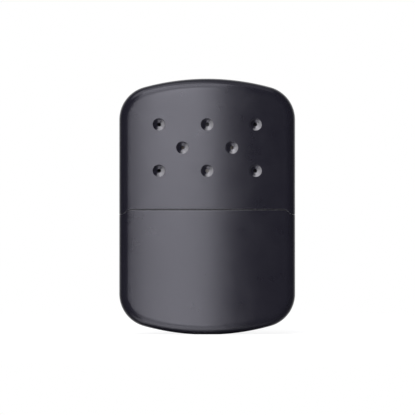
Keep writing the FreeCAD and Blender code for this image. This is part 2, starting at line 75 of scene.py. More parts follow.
MM = 0.001                          # one millimetre in metres
WELD = 1e-6                         # points closer than this are one
# in the vents the wear also carries a painted highlight: bare metal toward the lit side of each dish
WEAR = "wear"                       # mesh attribute: how far a coating is rubbed
FACING = "facing"                   # mesh attribute: which way a copy looks
UP = np.array([0.0, 0.0, 1.0])
MIRROR = np.array([-1.0, 1.0])      # turns plan points over to the other side
QUARTER = math.pi / 2
HEX = math.sqrt(3) / 2              # row pitch of a staggered pattern, for a pitch of 1
WHITE = (1.0, 1.0, 1.0, 1.0)


class Body(Enum):
    """The CAD bodies that pieces ride on."""

    TANK = "tank"
    COVER = "cover"
    BURNER = "burner"


class Slot(Enum):
    """Kinds of finish, by the name of their material slot."""

    PAINT = "black_paint"
    NICKEL = "bright_nickel"
    GAUZE = "fine_stainless"
    SPRING = "spring_wire"
    FELT = "felt"
    COTTON = "cotton"
    STAINLESS = "drawn_stainless"
    GLASS = "glass_fibre"


class Side(Enum):
    """The two broad faces, as the sign of Y."""

    FRONT = -1
    REAR = 1


# ---- node trees ----------------------------------------------------------------------
class Bench:
    """A node tree being wired."""

    def __init__(self, tree: Tree) -> None:
        """Work on this tree."""
        self.tree = tree

    def plug(self, socket: Socket, value: Any) -> None:
        """Feed an input.

        Args:
            socket: The input.
            value: The socket to link or the value to set.
        """
        if isinstance(value, Socket):
            self.tree.links.new(value, socket)
        else:
            socket.default_value = value

    def add(self, kind: str, plugs: Plugs | None = None, **settings: Any) -> Node:
        """Add a node and feed its inputs.

        Args:
            kind: The node's type name.
            plugs: Input name or index, with the socket to link or the value to set.
            **settings: Properties of the node itself.

        Returns:
            The new node.
        """
        node = self.tree.nodes.new(kind)
        for name, value in settings.items():
            setattr(node, name, value)
        for key, value in (plugs or {}).items():
            self.plug(node.inputs[key], value)
        return node

    def math(self, operation: str, *values: Any) -> Socket:
        """Add a math node and return its result."""
        return self.add("ShaderNodeMath", dict(enumerate(values)), operation=operation).outputs[0]

    def vector(self, operation: str, first: Any, second: Any) -> Socket:
        """Add a vector math node and return its vector."""
        plugs = {0: first, "Scale" if operation == "SCALE" else 1: second}
        return self.add("ShaderNodeVectorMath", plugs, operation=operation).outputs[0]

    def xyz(self, **parts: Any) -> Socket:
        """Combine X, Y and Z into a vector."""
        return self.add("ShaderNodeCombineXYZ", parts).outputs[0]

    def split(self, vector: Socket) -> Any:
        """Return the X, Y and Z of a vector, as outputs by name."""
        return self.add("ShaderNodeSeparateXYZ", {0: vector}).outputs

    def mix(self, factor: Any, first: Any, second: Any) -> Socket:
        """Mix two colours and return the result."""
        return self.add("ShaderNodeMix", {0: factor, 6: first, 7: second}, data_type="RGBA").outputs[2]

    def span(self, value: Any, low: float, high: float, start: Any = 0.0, end: Any = 1.0) -> Socket:
        """Map a value smoothly from low and high to start and end, clamped."""
        plugs = {0: value, 1: low, 2: high, 3: start, 4: end}
        return self.add("ShaderNodeMapRange", plugs, interpolation_type="SMOOTHSTEP").outputs[0]

    def place(self) -> Socket:
        """Return the Object coordinates."""
        return self.add("ShaderNodeTexCoord").outputs["Object"]

    def wear(self) -> Socket:
        """Return the mesh's wear."""
        return self.add("ShaderNodeAttribute", attribute_name=WEAR).outputs["Fac"]

    def group(self, tree: Tree, **values: Any) -> Any:
        """Place a shared effect with its own values and return its outputs."""
        return self.add("ShaderNodeGroup", values, node_tree=tree).outputs


class Group(Bench):
    """A node group being wired, with named inputs and outputs."""

    kinds = {bool: "Bool", int: "Int", float: "Float"}

    def __init__(self, name: str, tree: str, outputs: dict[str, str], inputs: Plugs) -> None:
        """Make the group and its sockets.

        Args:
            name: The group's name.
            tree: Shader or Geometry.
            outputs: Name and kind of each output.
            inputs: Name of each input, with its default or, as a word, its kind.
        """
        super().__init__(bpy.data.node_groups.new(name, tree + "NodeTree"))
        for label, given in inputs.items():
            kind = given if isinstance(given, str) else self.kinds[type(given)]
            made = self.socket(label, "INPUT", kind)
            if kind != given:
                made.default_value = given
        for label, kind in outputs.items():
            self.socket(label, "OUTPUT", kind)
        self.given = self.add("NodeGroupInput").outputs
        self.results = self.add("NodeGroupOutput").inputs

    def socket(self, label: str, way: str, kind: str) -> Any:
        """Add one socket to the group's interface."""
        return self.tree.interface.new_socket(name=label, in_out=way, socket_type="NodeSocket" + kind)

    def __getitem__(self, name: str) -> Socket:
        """Return the socket that an input's value comes from."""
        return self.given[name]

    def close(self, **results: Socket) -> Tree:
        """Link the group's results and return its tree.

        Args:
            results: What each output of the group gives.

        Returns:
            The group's tree.
        """
        for name, value in results.items():
            self.plug(self.results[name], value)
        return self.tree


# ---- shared surface effects ----------------------------------------------------------
class Effects:
    """Shader groups that more than one finish uses."""

    relief = {"Value": "Float", "Normal": "Vector"}

    def __init__(self) -> None:
        """Build each group once."""
        self.grain = self._grain()
        self.rubbed = self._rubbed()
        self.drawn = self._drawn()
        self.film = self._film()

    @staticmethod
    def _noise(group: Group, place: Socket, **values: float) -> Socket:
        """Add noise at the group's own scale and return its value."""
        plugs = {"Vector": place, "Scale": group["Scale"], **values}
        return group.add("ShaderNodeTexNoise", plugs).outputs[0]

    @staticmethod
    def _relief(group: Group, noise: Socket) -> Tree:
        """Close a group with its noise and the normal that the noise bumps."""
        bump = group.add("ShaderNodeBump", {"Strength": 1.0, "Distance": group["Depth"], "Height": noise})
        return group.close(Value=noise, Normal=bump.outputs[0])

    def _grain(self) -> Tree:
        """Fine even grain."""
        group = Group("fine_grain", "Shader", self.relief, {"Scale": 3000.0, "Depth": 0.00001})
        return self._relief(group, self._noise(group, group.place(), Detail=3.0, Roughness=0.6))

    def _drawn(self) -> Tree:
        """Long fine lines left by the drawing die, along Z.

        Returns:
            The tree, ready to be placed.
        """
        inputs = {"Scale": 2500.0, "Stretch": 0.02, "Depth": 0.000004}
        group = Group("die_lines", "Shader", self.relief, inputs)
        sizes = group.xyz(X=1.0, Y=1.0, Z=group["Stretch"])
        drawn = group.vector("MULTIPLY", group.place(), sizes)
        return self._relief(group, self._noise(group, drawn, Detail=3.0, Roughness=0.55))

    def _rubbed(self) -> Tree:
        """Mask of coating rubbed off, ragged, where the wear is above Keep; in the vents the same mask paints
        a highlight.

        Returns:
            The tree, ready to be placed.
        """
        group = Group("rubbed_edge", "Shader", {"Mask": "Float"}, {"Wear": 0.0, "Scale": 900.0, "Keep": 0.7})
        noise = self._noise(group, group.place(), Detail=4.0, Roughness=0.65)
        ragged = group.math("MULTIPLY_ADD", noise, 0.5, group["Wear"])
        return group.close(Mask=group.span(group.math("SUBTRACT", ragged, group["Keep"]), 0.10, 0.50))

    def _film(self) -> Tree:
        """Handling film: broad uneven patches that change a roughness.

        Returns:
            The tree, ready to be placed.
        """
        inputs = {"Roughness": 0.3, "Change": 0.05, "Scale": 60.0}
        group = Group("handling_film", "Shader", {"Roughness": "Float", "Value": "Float"}, inputs)
        noise = self._noise(group, group.place(), Detail=5.0, Roughness=0.6, Distortion=0.4)
        shift = group.math("MULTIPLY", group.math("SUBTRACT", noise, 0.5), group["Change"])
        return group.close(Roughness=group.math("ADD", shift, group["Roughness"]), Value=noise)


# ---- finishes ------------------------------------------------------------------------
@dataclass(frozen=True)
class Finish:
    """Base of the finishes: makes the material and wires what a finish gives its shader."""

    effects: Effects

    def wire(self, bench: Bench) -> Plugs:
        """Wire the finish and return the shader's inputs."""
        raise NotImplementedError

    def build(self) -> Material:
        """Make the material and return it.

        Returns:
            The material.
        """
        material = bpy.data.materials.new(self.label)
        material.use_nodes = True
        bench = Bench(material.node_tree)
        shader = next(n for n in bench.tree.nodes if n.type == "BSDF_PRINCIPLED")
        for name, value in self.wire(bench).items():
            bench.plug(shader.inputs[name], value)
        return material

    def film(self, bench: Bench) -> Any:
        """Place the handling film and return its outputs."""
        return bench.group(self.effects.film, Roughness=self.roughness, Change=self.film_change,
                           Scale=self.film_scale)

    def grain(self, bench: Bench) -> Any:
        """Place the fine grain and return its outputs."""
        return bench.group(self.effects.grain, Scale=self.grain_scale, Depth=self.grain_depth)

    def lines(self, bench: Bench) -> Any:
        """Place the die lines and return their outputs."""
        return bench.group(self.effects.drawn, Scale=self.line_scale, Stretch=self.line_stretch,
                           Depth=self.line_depth)

    @staticmethod
    def share(bench: Bench, value: Socket, part: float) -> Socket:
        """Return a part of a value."""
        return bench.math("MULTIPLY", value, part)


@dataclass(frozen=True)
class SatinPaint(Finish):
    """Satin black enamel over steel, rubbed to bare metal where the wear is high; in the vents the bare metal
    is a painted highlight on the lit side.
    """

    label: str = "satin_black_enamel"
    colour: Colour = (0.0105, 0.0098, 0.0165, 1.0)
    faded: Colour = (0.0135, 0.0128, 0.0195, 1.0)
    # bare metal: shows at rubbed rims as real wear, and in the vents as a painted highlight
    bare: Colour = (0.35, 0.345, 0.355, 1.0)
    tint: Colour = (0.94, 0.935, 1.0, 1.0)
    roughness: float = 0.22
    bare_roughness: float = 0.34
    bare_metallic: float = 0.4
    keep: float = 0.30
    rub_scale: float = 1400.0
    film_change: float = 0.14
    film_scale: float = 110.0
    grain_scale: float = 2600.0
    grain_depth: float = 0.0000033

    def wire(self, bench: Bench) -> Plugs:
        """Wire the finish and return the shader's inputs.

        Args:
            bench: The material's own node tree.

        Returns:
            The shader's inputs, by name.
        """
        # the mask lays bare metal on rubbed rims and, in the vents, a painted highlight on the lit side
        rubbed = bench.group(self.effects.rubbed, Wear=bench.wear(), Scale=self.rub_scale, Keep=self.keep)
        mask, film = rubbed["Mask"], self.film(bench)
        paint = bench.mix(film["Value"], self.colour, self.faded)
        return {"Base Color": bench.mix(mask, paint, self.bare),
                "Metallic": self.share(bench, mask, self.bare_metallic),
                "Roughness": bench.math("MULTIPLY_ADD", mask, self.bare_roughness, film["Roughness"]),
                "Normal": self.grain(bench)["Normal"], "IOR": 1.5, "Specular Tint": self.tint}


@dataclass(frozen=True)
class BrightNickel(Finish):
    """Bright nickel plate with die lines; a black band below the seam, given as enamel overspray, is painted
    shade that darkens the seam gap.
    """

    label: str = "bright_nickel_plate"
    colour: Colour = (0.66, 0.63, 0.58, 1.0)
    clouded: Colour = (0.50, 0.46, 0.40, 1.0)
    polished: Colour = (0.75, 0.73, 0.70, 1.0)
    polish: float = 0.5
    # painted shade: below this band the collar is black, given as enamel overspray, so the seam gap reads
    # dark
    overspray_shade: Colour = (0.012, 0.012, 0.015, 1.0)
    shade_band_low: float = 0.0497
    shade_band_high: float = 0.0503
    shade_band_ragged: float = 0.0016
    shade_band_roughness: float = 0.42
    roughness: float = 0.17
    film_change: float = 0.16
    film_scale: float = 110.0
    line_scale: float = 3000.0
    line_stretch: float = 0.015
    line_depth: float = 0.0000012
    line_roughness: float = 0.08

    def wire(self, bench: Bench) -> Plugs:
        """Wire the finish and return the shader's inputs.

        Args:
            bench: The material's own node tree.

        Returns:
            The shader's inputs, by name.
        """
        lines, film = self.lines(bench), self.film(bench)
        # painted shade: the plate turns black below a ragged height, darkening the seam gap
        height = bench.split(bench.place())["Z"]
        ragged = bench.math("MULTIPLY_ADD", film["Value"], self.shade_band_ragged, height)
        bare = bench.span(ragged, self.shade_band_low, self.shade_band_high)
        plate = bench.mix(bench.span(film["Value"], 0.35, 0.75), self.colour, self.clouded)
        bright = bench.mix(self.share(bench, bench.wear(), self.polish), plate, self.polished)
        rough = bench.math("MULTIPLY_ADD", lines["Value"], self.line_roughness, film["Roughness"])
        return {"Base Color": bench.mix(bare, self.overspray_shade, bright), "Metallic": bare,
                "Roughness": bench.span(bare, 0.0, 1.0, self.shade_band_roughness, rough),
                "Normal": lines["Normal"]}


@dataclass(frozen=True)
class HeatedSteel(Finish):
    """Drawn stainless steel that has run hot: straw to plum and blue toward the top."""

    label: str = "heated_drawn_stainless"
    cool: Colour = (0.14, 0.132, 0.128, 1.0)
    straw: Colour = (0.20, 0.15, 0.09, 1.0)
    plum: Colour = (0.13, 0.085, 0.10, 1.0)
    blue: Colour = (0.075, 0.09, 0.15, 1.0)
    start: float = 0.0655
    end: float = 0.0830
    uneven: float = 0.008
    polish: float = 0.35
    roughness: float = 0.48
    film_change: float = 0.14
    film_scale: float = 260.0
    line_scale: float = 3400.0
    line_stretch: float = 0.03
    line_depth: float = 0.0000015
    line_roughness: float = 0.1

    def wire(self, bench: Bench) -> Plugs:
        """Wire the finish and return the shader's inputs.

        Args:
            bench: The material's own node tree.

        Returns:
            The shader's inputs, by name.
        """
        lines, film = self.lines(bench), self.film(bench)
        height = bench.math("MULTIPLY_ADD", film["Value"], self.uneven, bench.split(bench.place())["Z"])
        ramp = bench.add("ShaderNodeValToRGB", {0: bench.span(height, self.start, self.end)})
        stops = ramp.color_ramp.elements
        stops[0].color, stops[1].color = self.cool, self.blue
        for where, colour in ((0.35, self.cool), (0.58, self.straw), (0.80, self.plum)):
            stops.new(where).color = colour
        polished = self.share(bench, bench.wear(), self.polish)
        rough = bench.math("MULTIPLY_ADD", lines["Value"], self.line_roughness, film["Roughness"])
        return {"Base Color": bench.mix(polished, ramp.outputs[0], self.cool), "Metallic": 1.0,
                "Roughness": rough, "Normal": lines["Normal"]}


@dataclass(frozen=True)
class SheetSteel(Finish):
    """Thin stainless stock, dulled by fumes in patches."""

    label: str = "fine_stainless_stock"
    colour: Colour = (0.52, 0.51, 0.49, 1.0)
    dulled: Colour = (0.36, 0.33, 0.29, 1.0)
    roughness: float = 0.34
    polished: Colour = (0.66, 0.65, 0.63, 1.0)
    polish: float = 0.4
    film_change: float = 0.2
    film_scale: float = 300.0
    grain_scale: float = 5000.0
    grain_depth: float = 0.000003

    def wire(self, bench: Bench) -> Plugs:
        """Wire the finish and return the shader's inputs.

        Args:
            bench: The material's own node tree.

        Returns:
            The shader's inputs, by name.
        """
        film = self.film(bench)
        colour = bench.mix(bench.span(film["Value"], 0.3, 0.7), self.colour, self.dulled)
        polished = self.share(bench, bench.wear(), self.polish)
        return {"Base Color": bench.mix(polished, colour, self.polished), "Metallic": 1.0,
                "Roughness": film["Roughness"], "Normal": self.grain(bench)["Normal"]}


@dataclass(frozen=True)
class SoftFibre(Finish):
    """Matted fibre: felt, cotton or glass, by its colours and grain."""

    label: str = "pressed_felt"
    colour: Colour = (0.50, 0.47, 0.41, 1.0)
    shadow: Colour = (0.36, 0.33, 0.28, 1.0)
    fleck: Colour = (0.62, 0.60, 0.55, 1.0)
    grain_scale: float = 1400.0
    grain_depth: float = 0.00006
    roughness: float = 0.95
    sheen: float = 0.25
    film_change: float = 0.08
    film_scale: float = 180.0
    strand_scale: float = 0.8
    strand_width: float = 0.12
    strand_share: float = 0.5

    def wire(self, bench: Bench) -> Plugs:
        """Wire the finish and return the shader's inputs.

        Args:
            bench: The material's own node tree.

        Returns:
            The shader's inputs, by name.
        """
        grain, film = self.grain(bench), self.film(bench)
        plugs = {"Vector": bench.place(), "Scale": self.grain_scale * self.strand_scale, "Randomness": 1.0}
        cells = bench.add("ShaderNodeTexVoronoi", plugs, feature="DISTANCE_TO_EDGE").outputs[0]
        strands = bench.span(cells, 0.0, self.strand_width, 1.0, 0.0)
        matted = bench.mix(bench.span(grain["Value"], 0.35, 0.65), self.shadow, self.colour)
        patchy = bench.mix(bench.span(film["Value"], 0.5, 0.8, 0.0, 0.5), matted, self.shadow)
        flecked = bench.mix(self.share(bench, strands, self.strand_share), patchy, self.fleck)
        return {"Base Color": flecked, "Roughness": film["Roughness"], "Normal": grain["Normal"],
                "Sheen Weight": self.sheen}


# ---- plane geometry ------------------------------------------------------------------
def circle(x: float, z: float, radius: float, count: int) -> Array:
    """Return points around a circle in a flat layout."""
    turn = np.arange(count) * 2 * math.pi / count
    return np.stack([x + radius * np.cos(turn), z + radius * np.sin(turn)], 1)


def ease(share: Any) -> Any:
    """Return a share from 0 to 1 that starts and ends softly."""
    return share * share * (3 - 2 * share)


def at_height(plan: Array, z: Any) -> Array:
    """Raise plan points (n, 2) to a height, or to one height each."""
    return np.column_stack([plan, np.broadcast_to(z, len(plan))])


def level(ways: Array) -> Array:
    """Return plan directions (n, 2) as level ones (n, 3)."""
    return at_height(ways, 0.0)


def arc(steps: int, end: float = QUARTER, start: float = 0.0) -> Array:
    """Return the angles of an arc, both ends among them."""
    return np.linspace(start, end, steps + 1)


def crossings(points: Array, loop: Array) -> Array:
    """Count, for each point, how often a ray to +X meets the loop.

    Args:
        points: Flat points (n, 2).
        loop: Corners of the loop (m, 2).

    Returns:
        One count for each point.
    """
    start, stop = loop, np.roll(loop, -1, 0)
    high = points[:, 1:2]
    spans = (start[:, 1] > high) != (stop[:, 1] > high)
    rise = stop[:, 1] - start[:, 1]
    rise = np.where(np.abs(rise) < 1e-12, 1e-12, rise)
    meet = start[:, 0] + (high - start[:, 1]) / rise * (stop[:, 0] - start[:, 0])
    return (spans & (meet > points[:, 0:1])).sum(1)


def inside(points: Array, loops: Sequence[Array]) -> Array:
    """Tell which points lie in the first loop and outside the others."""
    return sum(crossings(points, loop) for loop in loops) % 2 == 1


def gap_to(points: Array, line: Array) -> Array:
    """Return the distance from each point to the nearest point of a line."""
    return np.linalg.norm(points[:, None] - line[None], axis=2).min(1)


def fill(loops: Sequence[Array], spacing: float, extra: Array | None = None) -> tuple[Array, Faces]:
    """Triangulate a flat region on an even lattice.

    Args:
        loops: The outer border first, then the openings, as (n, 2) arrays.
        spacing: Distance between lattice points.
        extra: More points that the triangles have to meet.

    Returns:
        All points, the loops' own first, and the triangles.
    """
    border = np.concatenate(loops)
    low, high = border.min(0), border.max(0)
    lattice = []
    for index, z in enumerate(np.arange(low[1], high[1], spacing * 0.866)):
        row = np.arange(low[0] + (index % 2 + 0.5) * spacing / 2, high[0], spacing)
        lattice.append(np.stack([row, np.full(len(row), z)], 1))
    grid = np.concatenate(lattice)
    grid = grid[inside(grid, loops)]
    more = []
    if extra is not None:
        extra = extra[inside(extra, loops)]
        more = [extra[gap_to(extra, border) > 0.3 * spacing]]
    keep = np.ones(len(grid), bool)
    for loop in [*loops, *more]:
        keep &= gap_to(grid, loop) > 0.55 * spacing
    edges, start = [], 0
    for loop in loops:
        count = len(loop)
        edges += [(start + i, start + (i + 1) % count) for i in range(count)]
        start += count
    points = np.concatenate([border, grid[keep], *more])
    made = delaunay_2d_cdt([Vector(p) for p in points], edges, [], 0, 1e-7, False)
    places = np.array([tuple(v) for v in made[0]])
    faces = np.array(made[2])
    return places, [tuple(f) for f in faces[inside(places[faces].mean(1), loops)]]


def lattice_faces(rows: int, columns: int, wrap: bool = True) -> Faces:
    """Return the quads of a lattice counted row by row; wrap joins its last column to its first.

    Args:
        rows: Number of rows.
        columns: Points in a row.
        wrap: Whether a row closes.

    Returns:
        The quads.
    """
    faces = []
    for r in range(rows - 1):
        here, above = r * columns, (r + 1) * columns
        for c in range(columns if wrap else columns - 1):
            after = (c + 1) % columns
            faces.append((here + c, here + after, above + after, above + c))
    return faces


# ---- meshes --------------------------------------------------------------------------
def place(name: str, mesh: Mesh) -> Thing:
    """Put a mesh in the scene as an object at the origin.

    Args:
        name: The object's name.
        mesh: Its mesh.

    Returns:
        The object.
    """
    thing = bpy.data.objects.new(name, mesh)
    bpy.context.scene.collection.objects.link(thing)
    return thing


def bare_mesh(name: str, points: Array, edges: Sequence[tuple[int, int]] = (), faces: Faces = ()) -> Mesh:
    """Make a mesh from points in millimetres.

    Args:
        name: The mesh's name.
        points: Points (n, 3).
        edges: Pairs of points.
        faces: Faces.

    Returns:
        The mesh, in metres.
    """
    mesh = bpy.data.meshes.new(name)
    mesh.from_pydata((np.asarray(points) * MM).tolist(), edges, faces)
    return mesh


def line_of(name: str, points: Array, closed: bool = True) -> Thing:
    """Put a line through points in the scene.

    Args:
        name: The object's name.
        points: Points (n, 3), in millimetres.
        closed: Whether the line closes.

    Returns:
        The object.
    """
    count = len(points)
    edges = [(i, (i + 1) % count) for i in range(count if closed else count - 1)]
    return place(name, bare_mesh(name, points, edges))


def spots(name: str, points: Array, facing: Array) -> Thing:
    """Put points in the scene, each with the way that its copy faces.

    Args:
        name: The object's name.
        points: Points (n, 3), in millimetres.
        facing: One direction, or one for each point.

    Returns:
        The object.
    """
    mesh = bare_mesh(name, points)
    layer = mesh.attributes.new(FACING, "FLOAT_VECTOR", "POINT")
    layer.data.foreach_set("vector", np.broadcast_to(facing, points.shape).astype(np.float32).ravel())
    return place(name, mesh)


def bake_modifiers(thing: Thing) -> Thing:
    """Turn what the modifiers make into the object's own plain mesh.

    Args:
        thing: The object.

    Returns:
        The same object, without modifiers.
    """
    graph = bpy.context.evaluated_depsgraph_get()
    made = bpy.data.meshes.new_from_object(
        thing.evaluated_get(graph), preserve_all_data_layers=True, depsgraph=graph)
    made.name = thing.name
    thing.modifiers.clear()
    thing.data = made
    return thing


def finish_mesh(thing: Thing, sharp: float = 50.0) -> Thing:
    """Weld a piece, point its faces out and shade it.

    Normals are weighted by face area, so that broad faces stay true beside small roundings.

    Args:
        thing: The piece.
        sharp: Edges above this many degrees stay sharp.

    Returns:
        The same piece.
    """
    work = bmesh.new()
    work.from_mesh(thing.data)
    bmesh.ops.remove_doubles(work, verts=work.verts, dist=WELD)
    bmesh.ops.dissolve_degenerate(work, dist=WELD / 4, edges=work.edges)
    bmesh.ops.recalc_face_normals(work, faces=work.faces)
    loose = sum(not edge.is_manifold for edge in work.edges)
    work.to_mesh(thing.data)
    work.free()
    if loose:
        log.warning("%s has %d open edges", thing.name, loose)
    thing.data.shade_smooth()
    thing.data.set_sharp_from_angle(angle=math.radians(sharp))
    weighted = thing.modifiers.new("even", "WEIGHTED_NORMAL")
    weighted.mode = "FACE_AREA"
    weighted.keep_sharp = True
    return bake_modifiers(thing)


def roughen(thing: Thing, amount: float, scale: float, seed: float) -> None:
    """Push a soft piece in along its normals by noise.

    Args:
        thing: The piece.
        amount: Deepest push.
        scale: Noise cells in each millimetre.
        seed: Where in the noise the piece lies.
    """
    moved = []
    for vertex in thing.data.vertices:
        point, normal = np.array(vertex.co[:]) / MM, np.array(vertex.normal[:])
        value = fractal(Vector(point * scale) + Vector((seed, seed, seed)), 1.0, 2.0, 3)
        moved.append(point - normal * amount * min(max(0.5 + 0.6 * value, 0.0), 1.0))
    thing.data.vertices.foreach_set("co", (np.array(moved) * MM).astype(np.float32).ravel())
    thing.data.update()


# ---- sheet metal ---------------------------------------------------------------------
@dataclass
class Solid:
    """Points, faces and wear of a closed shape, in millimetres."""

    points: list[Array] = field(default_factory=list)
    faces: Faces = field(default_factory=list)
    wear: list[Array] = field(default_factory=list)
    count: int = 0

    def add(self, points: Array, faces: Faces, wear: float | Array = 0.0) -> None:
        """Add a patch that is welded to its neighbours later.

        Args:
            points: Points of the patch.
            faces: Its faces, counted from its own first point.
            wear: Wear of each point.
        """
        flat = points.reshape(-1, 3)
        self.points.append(flat)
        self.faces += [tuple(i + self.count for i in face) for face in faces]
        self.wear.append(np.broadcast_to(np.asarray(wear, float), (len(flat),)).copy())
        self.count += len(flat)

    def swallow(self, thing: Thing) -> None:
        """Add an object's mesh and remove the object.

        Args:
            thing: The object, with its mesh in metres.
        """
        mesh = thing.data
        points = np.zeros(len(mesh.vertices) * 3, np.float32)
        mesh.vertices.foreach_get("co", points)
        wear = np.zeros(len(mesh.vertices), np.float32)
        if WEAR in mesh.attributes:
            mesh.attributes[WEAR].data.foreach_get("value", wear)
        faces = [tuple(p.vertices) for p in mesh.polygons]
        self.add(points.reshape(-1, 3).astype(float) / MM, faces, wear)
        bpy.data.objects.remove(thing)

    def place(self, name: str) -> Thing:
        """Put the solid in the scene with its wear, its patches not yet welded.

        Args:
            name: The object's name.

        Returns:
            The object.
        """
        mesh = bare_mesh(name, np.concatenate(self.points), (), self.faces)
        layer = mesh.attributes.new(WEAR, "FLOAT", "POINT")
        layer.data.foreach_set("value", np.concatenate(self.wear).astype(np.float32))
        return place(name, mesh)


@dataclass
class Border:
    """A free border of a skin, with the direction that leads off the skin."""

    points: Array
    normals: Array
    outward: Array


@dataclass
class Skin:
    """The outside of a sheet-metal piece, without thickness."""

    patches: list[tuple[Array, Array, Faces]] = field(default_factory=list)
    borders: list[Border] = field(default_factory=list)

    def lattice(self, points: Array, normals: Array, wrap: bool = False) -> None:
        """Add a lattice patch; wrap joins its last column to its first."""
        faces = lattice_faces(*points.shape[:2], wrap)
        self.patches.append((points.reshape(-1, 3), normals.reshape(-1, 3), faces))

    def border(self, points: Array, normals: Array, outward: Array) -> None:
        """Add a closed free border that the sheet's thickness turns around."""
        self.borders.append(Border(points, normals, np.broadcast_to(outward, points.shape)))

    def plate(self, z: float, spacing: float, edge: Array, holes: Sequence[Array] = (),
              frames: Sequence[tuple[Array, Array]] = ()) -> None:
        """Add a level plate.

        Args:
            z: Its height.
            spacing: Its lattice.
            edge: Its outline in plan.
            holes: Bare holes, which another part fills.
            frames: Line of each framed opening, with the directions into it.
        """
        flat, faces = fill([edge, *holes, *(line for line, _ in frames)], spacing)
        self.patches.append((at_height(flat, z), np.broadcast_to(UP, (len(flat), 3)), faces))
        for line, inward in frames:
            self.border(at_height(line, z), np.broadcast_to(UP, (len(line), 3)), level(inward))

    def turn_over(self, height: float) -> None:
        """Turn the skin upside down within a height.

        Args:
            height: Height of the whole form.
        """
        flip, lift = np.array([1.0, 1.0, -1.0]), np.array([0.0, 0.0, height])
        self.patches = [(p * flip + lift, n * flip, f) for p, n, f in self.patches]
        self.borders = [Border(b.points * flip + lift, b.normals * flip, b.outward * flip)
                        for b in self.borders]

    @staticmethod
    def pressed(points: Array, floor: float | None) -> Array:
        """Return the points, lifted to a floor if there is one.

        Args:
            points: Points (n, 3).
            floor: Lowest height that is allowed, or none.

        Returns:
            The points.
        """
        if floor is None:
            return points
        return at_height(points[:, :2], np.maximum(points[:, 2], floor))

    def solid(self, sheet: float, rounding: float, steps: int = 3, press: float | None = None,
              worn: float = 1.0) -> Solid:
        """Give the skin its thickness.

        Args:
            sheet: Thickness of the metal.
            rounding: Radius of the borders.
            steps: Facets in each rounding.
            press: Height that the underside is pressed flat to, if any.
            worn: Wear of the borders, from 0 to 1.

        Returns:
            The solid, closed where every free border was added.
        """
        made = Solid()
        inner = None if press is None else press + sheet
        for points, normals, faces in self.patches:
            made.add(self.pressed(points, press), faces)
            made.add(self.pressed(points - sheet * normals, inner), faces)
        turn = [(rounding * math.sin(a), rounding * (1 - math.cos(a)), math.sin(a)) for a in arc(steps)]
        turn += [(out, sheet - down, worn_here * 0.6) for out, down, worn_here in reversed(turn)]
        for edge in self.borders:
            count = len(edge.points)
            rows = np.stack([edge.points + edge.outward * o - edge.normals * d for o, d, _ in turn])
            made.add(rows, lattice_faces(len(turn), count), worn * np.repeat([w for _, _, w in turn], count))
        return made


def turned(name: str, profile: Sequence[tuple[float, float, float]], segments: int) -> Thing:
    """Make a small turned shape about +Z, from radius, height and wear of each step.

    Args:
        name: The shape's name.
        profile: Radius, height and wear of each step.
        segments: Points in a turn.

    Returns:
        The shape, for use as a copy.
    """
    rows = [at_height(circle(0.0, 0.0, r, segments), h) for r, h, _ in profile]
    wear = np.repeat([w for _, _, w in profile], segments)
    made = Solid()
    made.add(np.stack(rows), lattice_faces(len(profile), segments), wear)
    return made.place(name)


# ---- geometry node trees -------------------------------------------------------------
class Pattern(Group):
    """A geometry node tree being wired; it ends by setting the finish."""

    def __init__(self, name: str, inputs: Plugs) -> None:
        """Open the tree with its inputs and the finish."""
        super().__init__(name, "Geometry", {"Geometry": "Geometry"}, {**inputs, "Finish": "Material"})

    def object(self, name: str) -> Socket:
        """Return the geometry of the object that an input names."""
        return self.add("GeometryNodeObjectInfo", {"Object": self[name]}).outputs["Geometry"]

    def turn(self, angles: Any) -> Socket:
        """Return a rotation by three angles."""
        return self.add("FunctionNodeEulerToRotation", {0: angles}).outputs[0]

    def copies(self, points: Socket, piece: Socket, turn: Socket, size: Any = (1.0, 1.0, 1.0)) -> Socket:
        """Copy a piece to points."""
        plugs = {"Points": points, "Instance": piece, "Rotation": turn, "Scale": size}
        return self.add("GeometryNodeInstanceOnPoints", plugs).outputs[0]

    def real(self, copies: Socket) -> Socket:
        """Make copies real geometry."""
        return self.add("GeometryNodeRealizeInstances", {"Geometry": copies}).outputs[0]

    def where(self) -> Socket:
        """Return each point's position."""
        return self.add("GeometryNodeInputPosition").outputs[0]

    def move(self, geometry: Socket, position: Socket) -> Socket:
        """Set each point's position."""
        return self.add("GeometryNodeSetPosition", {"Geometry": geometry, "Position": position}).outputs[0]

    def join(self, *parts: Socket) -> Socket:
        """Join geometries.

        Args:
            parts: The geometries.

        Returns:
            All of them as one.
        """
        node = self.add("GeometryNodeJoinGeometry")
        for part in parts:
            self.plug(node.inputs[0], part)
        return node.outputs[0]

    def end(self, geometry: Socket) -> Tree:
        """Realize the instances, set the finish and close the tree."""
        plugs = {"Geometry": self.real(geometry), "Material": self["Finish"]}
        return self.close(Geometry=self.add("GeometryNodeSetMaterial", plugs).outputs[0])


